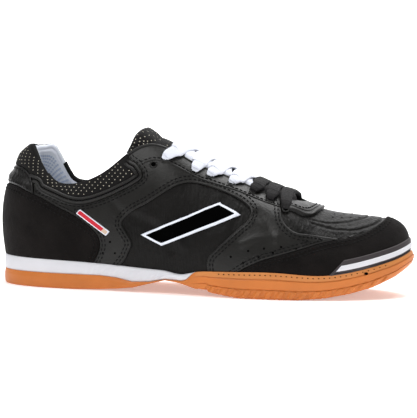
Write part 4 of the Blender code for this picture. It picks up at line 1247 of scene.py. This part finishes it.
def build_emblem(mats):
    """A plain slanted bar in the window of each side, with a light edge."""
    outline = smooth_outline(np.array(EMBLEM) * [LENGTH, INSTEP_HEIGHT])
    for half, suffix, slot in ((-1, "outer", "quarter_lateral"), (1, "inner", "quarter_medial")):
        skin = panel_skin({"quarter": UNDER}, half)
        points = last_surface(skin.table[:, 0], skin.table[:, 1])
        skin = Skin(skin.table.copy(), skin.faces)
        at = NAMES.index("label0")
        skin.table[:, at] = outline_distance(points[:, [0, 2]], outline)
        skin = clip(skin, skin.table[:, at])
        for depth in (0.0004, 0.0017):
            skin = split(skin, skin.table[:, at] + depth)
        offset = 0.0008 + rolled(-skin.table[:, at], 0.0010, 0.0005) + column(skin, "relief")
        points = on_skin(skin, offset)
        rim = skin.table[:, at][skin.faces].mean(axis=1) > -0.0017
        for name, shown, mat in (("emblem_edge", rim, "band"), ("emblem", ~rim, "hole")):
            shape = (points, skin.faces[shown])
            piece(f"{name}_{suffix}", [shape], mats[mat], merge=WELD)


def grid_dots(grid, normals, places, radius, lift):
    """Flat dots at the (row, column) places of a grid of points."""
    i, j = np.array(places).T
    normal = normals[i, j]
    along = unit(grid[i, j + 1] - grid[i, j])
    across = np.cross(normal, along)
    turns = np.arange(6) * math.pi / 3
    flat = along[:, None] * np.cos(turns)[:, None] + across[:, None] * np.sin(turns)[:, None]
    verts = (grid[i, j] + normal * lift)[:, None] + flat * radius
    return verts, np.arange(verts.shape[0] * 6).reshape(-1, 6)


def build_collar_inside(mats):
    """The rounded top of the collar and its white padding."""
    front = time_where(TOP_X, 0.385)
    u = np.linspace(-front, front, 420)
    top = last_surface(u, 1.0)
    up = unit(top - last_surface(u, 0.97))
    out = last_normal(u, 0.98)
    taper = np.clip((front - abs(u)) / 0.10, 0, 1)[:, None] ** 0.5
    radius = 0.0012 + 0.0014 * taper
    share = RING(u)[:, TOP_X] / LENGTH
    inner_rise = np.interp(
        share, [0.075, 0.090, 0.105, 0.115, 0.130, 0.150, 0.165],
        [0, 0.0032, 0.0085, 0.0102, 0.0070, 0.0012, 0],
    )
    outer_rise = np.interp(
        share, [0.073, 0.080, 0.089, 0.098, 0.112], [0, 0.0020, 0.0036, 0.0022, 0]
    )
    rise = np.where(u < 0, inner_rise, outer_rise)[:, None] * np.array([0, 0, 1.0])
    top = top + rise
    centre = top + out * (0.0014 - radius) - up * radius * 0.85
    low = np.linspace(1, 0.02, 44)
    pad = LINING_PAD * np.interp(low, [0.02, 0.45, 0.62, 0.86, 1.0], [0.12, 0.15, 0.75, 1.15, 0.75])
    inner = centre - out * radius

    def arc(angles):
        angle = np.radians(angles)
        return centre[:, None] + radius[:, None] * (
            out[:, None] * np.cos(angle)[None, :, None] + up[:, None] * np.sin(angle)[None, :, None]
        )

    depth = WALL + pad[None, :] * taper + np.zeros((len(u), 1))
    depth[:, 0] = 2 * radius[:, 0] - 0.0014
    lining = off_last(u[:, None], low[None, :] * np.ones((len(u), 1)), -depth)
    lining = lining + rise[:, None] * np.clip((low - 0.75) / 0.25, 0, 1)[None, :, None]
    lining[:, 0] = inner
    black = arc(np.linspace(0, 88, 12))
    foot = off_last(u, np.full(u.shape, 0.955), np.full(u.shape, 0.0010))
    black = np.concatenate([foot[:, None], black], axis=1)
    white = arc(np.linspace(84, 180, 12))
    white = np.concatenate([white, lining[:, 1:3]], axis=1)
    lining = lining[:, 2:]
    rim = piece("collar_top", [(black, grid_faces(*black.shape[:2]))], mats["mesh"])
    band = piece(
        "collar_band", [(white, grid_faces(*white.shape[:2]))], mats["band"]
    )
    pad = piece(
        "lining_pad", [(lining, grid_faces(*lining.shape[:2]))], mats["lining"],
        ["collar_lining"],
    )
    # The lining's woven cells
    inward = np.broadcast_to(-out[:, None], lining.shape)
    rows = [*range(1, 11), *range(12, 30, 2)]
    places = [(i, j) for k, j in enumerate(rows) for i in range(10 + k % 2 * 2, len(u) - 10, 4)]
    cells = grid_dots(lining, inward, places, 0.00085, 0.0003)
    piece("lining_cells", [cells], mats["cell"])
    # Black binding along the front of the collar
    t0 = time_where(TOP_X, 0.13)
    bindings = []
    for sign in (-1, 1):
        keep = (u * sign > t0)
        line = (centre + up * radius * 0.25)[keep]
        bindings.append(tube(line, up[keep], radius[keep, 0] * 0.95, 12))
    piece("collar_binding", bindings, mats["mesh"])


def build_tongue(mats):
    """The padded tongue: sewn rows under the laces and a free part that leans back."""
    top = time_where(TOP_X, TONGUE_TOP)
    front = time_where(TOP_X, THROAT_ROUND_FROM + 0.88 * (THROAT_FRONT - THROAT_ROUND_FROM))
    times = np.linspace(top, front, 90)
    t = np.linspace(-1.0, 2.0, TONGUE_STEPS + 1)
    depth = WALL + 5 * GAP
    edge = np.clip(1.5 - abs(t - 0.5), 0, 1) ** 0.5
    edge = np.clip(edge * 1.6, 0.15, 1)
    free_rows = np.array(TONGUE_LOOKS)
    steps = np.linspace(0, 3, 25)[1:]
    free_values = np.stack([np.interp(steps, range(4), free_rows[:, k]) for k in range(5)], 1)
    layers = []
    for offset in (-depth, -(depth + TONGUE)):
        laid = bridge(
            times[:, None], t[None, :], -depth + np.zeros((1, len(t))), TONGUE_PUFF, TONGUE_UNDER
        )
        if offset < -depth:
            under = bridge(times[:, None], t[None, :], offset, TONGUE_PUFF, TONGUE_UNDER)
            laid = laid + (under - laid) * edge[None, :, None]
        free = []
        for back, rise, lean, width, under in free_values:
            arch = bridge(np.full(len(t), top), t, -depth, TONGUE_PUFF, under)
            middle = arch[len(t) // 2]
            if offset < -depth:
                below = bridge(np.full(len(t), top), t, offset, TONGUE_PUFF, under)
                arch = arch + (below - arch) * edge[:, None]
            rel = arch - middle
            turned = np.stack([
                rel[:, 0] * np.cos(lean) + rel[:, 2] * np.sin(lean),
                rel[:, 1] * width,
                rel[:, 2] * np.cos(lean) - rel[:, 0] * np.sin(lean),
            ], axis=1)
            free.insert(0, middle + turned + np.array([-back * LENGTH, 0.0, rise * INSTEP_HEIGHT]))
        layers.append(np.concatenate([free, laid]))
    outer, inner = layers
    middle = (outer + inner) / 2
    normal = unit(np.cross(np.gradient(outer, axis=0), np.gradient(outer, axis=1)))
    normal *= np.sign((normal * (outer - inner)).sum(-1, keepdims=True) + 1e-12)
    rows = np.arange(len(outer))
    puff = np.clip(rows / 5, 0, 1) ** 0.5
    puff = (puff[:, None] * edge[None, :])[..., None]
    column_at, last = np.arange(len(t)), len(t) - 1
    groove = sum(np.exp(-(((column_at - seam) / 1.2) ** 2)) for seam in (9, last - 9))
    swell = 0.0006 + 0.0016 * np.exp(-(((t - 0.5) / 0.42) ** 4))
    lift = swell[None, :, None] * puff - 0.0010 * groove[None, :, None]
    outer = middle + (outer - middle) * puff + normal * lift
    inner = middle + (inner - middle) * puff
    ring = np.concatenate([outer, inner[:, ::-1]], axis=1)
    faces = [grid_faces(len(ring), ring.shape[1], closed=True)]
    count = len(t)
    for row in (0, len(ring) - 1):
        k = np.arange(count - 1)
        near, far = 2 * count * row + k, 2 * count * (row + 1) - 1 - k
        faces.append(np.stack([near, near + 1, far - 1, far], 1))
    tongue = piece("tongue_pad", [(ring, faces)], mats["mesh"], ["tongue"], merge=1e-5)
    places = [
        (i, j)
        for i in range(2, len(outer) - 3, 4)
        for j in range(4 + i // 4 * 2 % 4, count - 4, 4)
    ]
    dots = grid_dots(outer, normal, places, 0.0004, 0.0001)
    piece("tongue_dots", [dots], mats["dots"])


def build_lace(name, rows, mat, slot, width, bulk, spread):
    """Flat woven bars from eyelet to eyelet, one way over the other.

    Each bar dives into its eyelet at the start, widens where it crosses and tucks under at the end.
    """
    parts = []
    steps = np.linspace(-1.0, 1.35, 80)
    share = np.clip((steps + 1) / 2.1, 0, 1) ** 1.1
    cross = np.exp(-(((steps - 0.45) / 0.35) ** 2))
    dive = np.clip((-0.55 - steps) / 0.45, 0, 1) ** 1.5
    tuck = np.clip((steps - 0.92) / 0.25, 0, 1)
    crossing = 1 + spread * np.exp(-(((steps - 0.40) / 0.50) ** 2))
    half = width / 2 / LENGTH
    # The bar's section, a flat rounded rectangle
    angles = np.arange(16) * math.pi / 8
    wide = np.sign(np.cos(angles)) * abs(np.cos(angles)) ** 0.55 * width / 2
    tall = np.sign(np.sin(angles)) * abs(np.sin(angles)) ** 0.7
    weave = 0.00012 * np.sin(steps * 260)[:, None] * (tall > 0.3)[None, :]
    thick = tall * LACE * 0.62 * bulk + weave
    for (start, under), (end, _) in zip(rows, rows[1:]):
        middle = start * (1 - share) + end * share
        for t, size, rise in ((1 - steps, 0.9, 0.0005), (steps, 1.0, 0.0012)):
            offset = 0.0022 + bulk * rise * (0.5 + cross) - 0.0048 * dive**2 - 0.0062 * tuck

            def lying(along, t=t, offset=offset, under=under):
                return bridge(along, t, offset, TONGUE_PUFF, under)

            centre = lying(middle)
            aside = lying(middle + half) - lying(middle - half)
            ways = unit(np.gradient(centre, axis=0))
            aside = unit(aside - ways * (aside * ways).sum(-1, keepdims=True))
            out = np.cross(ways, aside)
            out *= np.sign(out[:, 2:3] + 1e-9)
            widths = wide[None, :] * ((1 - 0.62 * dive) * size * crossing)[:, None]
            verts = centre[:, None] + aside[:, None] * widths[..., None]
            verts = verts + out[:, None] * thick[..., None]
            parts.append((verts, [grid_faces(len(steps), 16, closed=True)]))
    piece(name, parts, mat, [slot])


def rib(x, share, band):
    """Slanted ribs of the sole's side, between its two grooves."""
    phase = (x - 0.0110 * share) / 0.0075
    wave = np.clip(np.cos(phase * 2 * math.pi) * 1.8, -1, 1)
    window = np.clip((0.335 - share) / 0.03, 0, 1)
    return 0.00060 * wave * window * band


def edge_top(ring):
    """The sole's top edge: it dips where the white wedge ends."""
    return ring[:, 2] - 0.0024 * np.exp(-(((ring[:, 0] / LENGTH - 0.468) / 0.030) ** 2))


def sole_lines(u):
    """The ring with its x, top edge and rim, and the join, which meets the edge past the wedge."""
    ring = RING(u)
    x, edge_z = ring[:, 0], edge_top(ring)
    half = np.minimum(abs(u), 2 - abs(u))
    end = np.clip((half - WEDGE_TIME + WEDGE_BLEND) / WEDGE_BLEND, 0, 1)
    join = sole_value("join", x) * SOLE_EDGE
    return ring, x, edge_z, sole_value("proud", x) * RIM, join + (edge_z - join) * end, end


def strips(ring, count):
    """A closed ring filled by straight lines from its one half to the other."""
    half = len(ring) // 2
    lateral, medial = ring[: half + 1], np.concatenate([ring[:1], ring[: half - 1 : -1]])
    share = np.linspace(0, 1, count)[None, :, None]
    return lateral[:, None] * (1 - share) + medial[:, None] * share, share[..., 0]


def tread_depth(x, y):
    """How deep the tread's slanted slots are cut at each point underneath."""
    depth = np.zeros(x.shape)
    for zone in TREAD_ZONES:
        pitch = TREAD_PITCH * zone.pitch
        along = x - TREAD_SLANT * y - zone.begins * LENGTH
        near = abs(np.mod(along + pitch / 2, pitch) - pitch / 2)
        inside = (along > -pitch / 2) & (along < (zone.ends - zone.begins) * LENGTH)
        slot = np.clip((TREAD_WIDTH - near) / (TREAD_WIDTH * 0.4), 0, 1)
        depth = np.maximum(depth, TREAD_DEPTH * slot * inside)
    return depth


def build_outsole(mats):
    """The rubber with its side lines and ribs, its tread and the paler band along its edge."""
    u = np.linspace(0, 2, 2 * AROUND + 1)[:-1]
    ring, x, _, rim, top, _ = sole_lines(u)
    band = sole_value("band", x)
    ribbed = (x > 0.53 * LENGTH) & (x < 0.93 * LENGTH)
    teeth = 0.0012 * np.clip(np.cos(x / RIB_PITCH * 2 * math.pi) * 3 - 2, 0, 1) * band
    shares = np.linspace(0, 1, 46)
    lines = np.array([tuple(line) for line in SIDE_LINES])
    columns = []
    for share in shares:
        outward = rim * np.interp(share, lines[:, 0], lines[:, 1])
        outward = outward + band * GROOVE * 1.2 * np.interp(share, lines[:, 0], lines[:, 2])
        outward = outward + rib(x, share, band) * ribbed
        low = ground(edge_point(u, outward, 0)[:, 0])
        columns.append(edge_point(u, outward, low + (top - low) * share + teeth * (share == 0)))
    for z in (top, ring[:, 2] - ring[:, 11] - GAP):
        columns.append(edge_point(u, np.full(len(u), SOLE_INSET), z))
    side = np.stack(columns, axis=1)
    rows, count = side.shape[:2]
    closed = np.concatenate([side, side[:1]])
    quads = grid_faces(rows + 1, count)
    step = quads[:, 0] % count
    height = shares[np.clip(step, 0, len(shares) - 1)]
    past_wedge = np.minimum(u, 2 - u)[(quads[:, 0] // count) % rows] > WEDGE_TIME
    pale = (height >= 0.74) & past_wedge & (step < len(shares) + 1)
    piece("sole_band", [(closed, quads[pale])], mats["gum_band"], merge=1e-5)
    under, share = strips(side[:, 0], SOLE_ACROSS + 1)
    edges = under[:, [0, -1]].copy()
    inset = np.minimum(share, 1 - share) * SOLE_ACROSS
    depth = tread_depth(under[..., 0], under[..., 1])
    under[..., 2] = ground(under[..., 0]) + depth * np.clip(inset - 0.5, 0, 1)
    under[:, [0, -1]] = edges
    seat, _ = strips(side[:, -1], 3)
    shapes = [
        (closed, quads[~pale]),
        (under, grid_faces(*under.shape[:2], flip=True)),
        (seat, grid_faces(*seat.shape[:2])),
    ]
    piece("sole_rubber", shapes, mats["gum"], ["outsole"], merge=1e-5)


def build_sole_spots(mats):
    """The row of small holes along the rubber's band, and one larger hole at the toe, each a black
    shape of painted shade.
    """
    spots = [
        (time, 0.90, 0.00035)
        for at in np.arange(0.56, 0.93, 0.0118)
        for time in (time_where(FOOT_X, at), 2 - time_where(FOOT_X, at))
    ]
    spots.append((time_where(FOOT_X, 0.885), 0.80, 0.0010))
    up, angle = np.array([0, 0, 1.0]), np.arange(8) * math.pi / 4
    parts = []
    for time, share, size in spots:
        time = np.array([time])
        x = RING(time)[:, 0]
        outward = sole_value("proud", x) * RIM * 0.86 + size * 0.6
        z = ground(x) + (RING(time)[:, 2] - ground(x)) * share
        along = np.cross(edge_outward(time)[0], up)
        circle = np.cos(angle)[:, None] * along * 1.6 + np.sin(angle)[:, None] * up
        centre = edge_point(time, outward, z)[0]
        parts.append((centre + size * circle, [np.arange(8)[None, :]]))
    piece("sole_spots", parts, mats["hole"])


def build_wedge(mats):
    """The white wedge, bulging, with fine slanted lines at its waist."""
    u = np.linspace(-WEDGE_TIME, WEDGE_TIME, 700)
    _, x, edge_z, rim, join, end = sole_lines(u)
    waist = np.clip(np.minimum(x / LENGTH - 0.22, 0.44 - x / LENGTH) / 0.02, 0, 1)
    columns = []
    for share in np.linspace(0, 1, 16):
        arch = math.sin(math.pi * share)
        edges = math.exp(-((share / 0.06) ** 2)) + math.exp(-(((share - 1) / 0.06) ** 2))
        outward = rim * (0.72 + 0.30 * arch - 0.25 * edges) * (1 - 0.3 * end)
        ripple = np.sin((x - 0.008 * share) / 0.0042 * 2 * math.pi)
        outward = outward + waist * arch * 0.00022 * ripple
        columns.append(edge_point(u, outward, join + (edge_z - join) * share))
    for z in (edge_z, join):
        columns.append(edge_point(u, np.full(len(u), SOLE_INSET), z))
    wedge = np.stack(columns, axis=1)
    shape = (wedge, grid_faces(len(u), wedge.shape[1], closed=True))
    piece("wedge_foam", [shape], mats["white"], ["midsole"], merge=1e-6)


def build_insole(mats):
    u = np.linspace(0, 2, 361)[:-1]
    ring = RING(u)
    seat_z = ring[:, 2] - ring[:, 11] + INSOLE
    cloth, share = strips(edge_point(u, np.full(len(u), -(WALL + GAP)), seat_z), 25)
    cloth[..., 2] -= 0.0008 * np.sin(math.pi * share)
    below = cloth - [0, 0, INSOLE * 0.8]
    size = cloth.shape[:2]
    shapes = [(cloth, grid_faces(*size)), (below, grid_faces(*size, flip=True))]
    sock = piece("sock_liner", shapes, mats["insole"], ["insole"], merge=1e-6)


def build_stage():
    """A plain pale floor that curves up behind, and soft lamps."""
    mat = finish_of("stage_paper", (252, 252, 253), 0.9, 0.01)
    glow = mat.node_tree.nodes["Principled BSDF"]
    glow.inputs["Emission Color"].default_value = (1, 1, 1, 1)
    glow.inputs["Emission Strength"].default_value = 0.32
    bend = np.linspace(0.1, math.pi / 2, 14)
    curve = [(2.2 + math.sin(a), 1.0 - math.cos(a)) for a in bend]
    profile = [(-3.0, 0.0), (2.2, 0.0), *curve, (3.2, 4.0)]
    verts = [(x, y, z) for x in (-4.0, 4.0) for y, z in profile]
    n = len(profile)
    mesh = bpy.data.meshes.new("paper")
    mesh.from_pydata(verts, [], [(k, k + n, k + n + 1, k + 1) for k in range(n - 1)])
    mesh.shade_smooth()
    mesh.materials.append(mat)
    floor = bpy.data.objects.new("paper", mesh)
    bpy.context.scene.collection.objects.link(floor)
    world = bpy.data.worlds.new("studio")
    world.use_nodes = True
    world.node_tree.nodes["Background"].inputs["Color"].default_value = (1, 1, 1, 1)
    world.node_tree.nodes["Background"].inputs["Strength"].default_value = 0.17
    bpy.context.scene.world = world
    shoe, backdrop = Vector((0, 0, 0.04)), Vector((0, 2.9, 0.8))
    for name, place, aim, size, power in (
        ("key", (-0.7, -1.1, 1.5), shoe, 0.9, 18.0),
        ("top", (0.3, 0.3, 1.6), shoe, 1.0, 21.0),
        ("fill", (1.2, -1.4, 0.6), shoe, 0.9, 4.0),
        ("paper_light", (0.0, 1.6, 2.4), backdrop, 3.0, 60.0),
    ):
        light = bpy.data.lights.new(name, "AREA")
        light.size, light.energy = size, power
        lamp = bpy.data.objects.new(name, light)
        lamp.location = place
        lamp.rotation_mode = "QUATERNION"
        lamp.rotation_quaternion = (aim - Vector(place)).to_track_quat("-Z", "Y")
        bpy.context.scene.collection.objects.link(lamp)


def build_camera():
    """The photo's own view: nine degrees round, four above, with a slight roll."""
    turn, tilt, roll, far = math.radians(9), math.radians(4), math.radians(1.3146), 1.15
    aim = Vector((0.147741, 0.0, 0.055864)) - Vector(ORIGIN)
    level = Vector((-math.sin(turn), math.cos(turn), 0))
    ahead = level * math.cos(tilt) - Vector((0, 0, math.sin(tilt)))
    right = Vector((math.cos(turn), math.sin(turn), 0))
    up = right.cross(ahead)
    cosine, sine = math.cos(roll), math.sin(roll)
    right, up = right * cosine + up * sine, up * cosine - right * sine
    data = bpy.data.cameras.new("camera")
    data.sensor_fit, data.sensor_width, data.lens = "HORIZONTAL", 36.0, 142.54
    data.clip_start, data.clip_end = 0.05, 50.0
    camera = bpy.data.objects.new("camera", data)
    turned = Matrix([right, up, -ahead]).transposed().to_4x4()
    camera.matrix_world = Matrix.Translation(aim - ahead * far) @ turned
    bpy.context.scene.collection.objects.link(camera)
    scene = bpy.context.scene
    scene.camera = camera
    scene.render.resolution_x, scene.render.resolution_y = 417, 418
    scene.render.engine = "CYCLES"
    scene.cycles.samples = 96
    scene.view_settings.view_transform = "Standard"


def main():
    build_camera()
    build_stage()
    mats = {key: finish_of(*values) for key, values in FINISHES.items()}
    build_upper(mats)
    build_panels(mats)
    build_mesh_dots(mats)
    build_holes(mats)
    build_strip(mats)
    build_label(mats)
    build_emblem(mats)
    build_collar_inside(mats)
    build_tongue(mats)
    build_lace("lace_pale", EYELETS[1:6], mats["lace_white"], "lace_white", 0.0078, 1.3, 0.65)
    build_lace(
        "lace_dark", [*EYELETS[5:8], (0.735, 0.74)], mats["lace_black"], "lace_black", 0.0080, 2.1,
        0.15,
    )
    build_outsole(mats)
    build_sole_spots(mats)
    build_wedge(mats)
    build_insole(mats)


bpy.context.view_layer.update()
main()
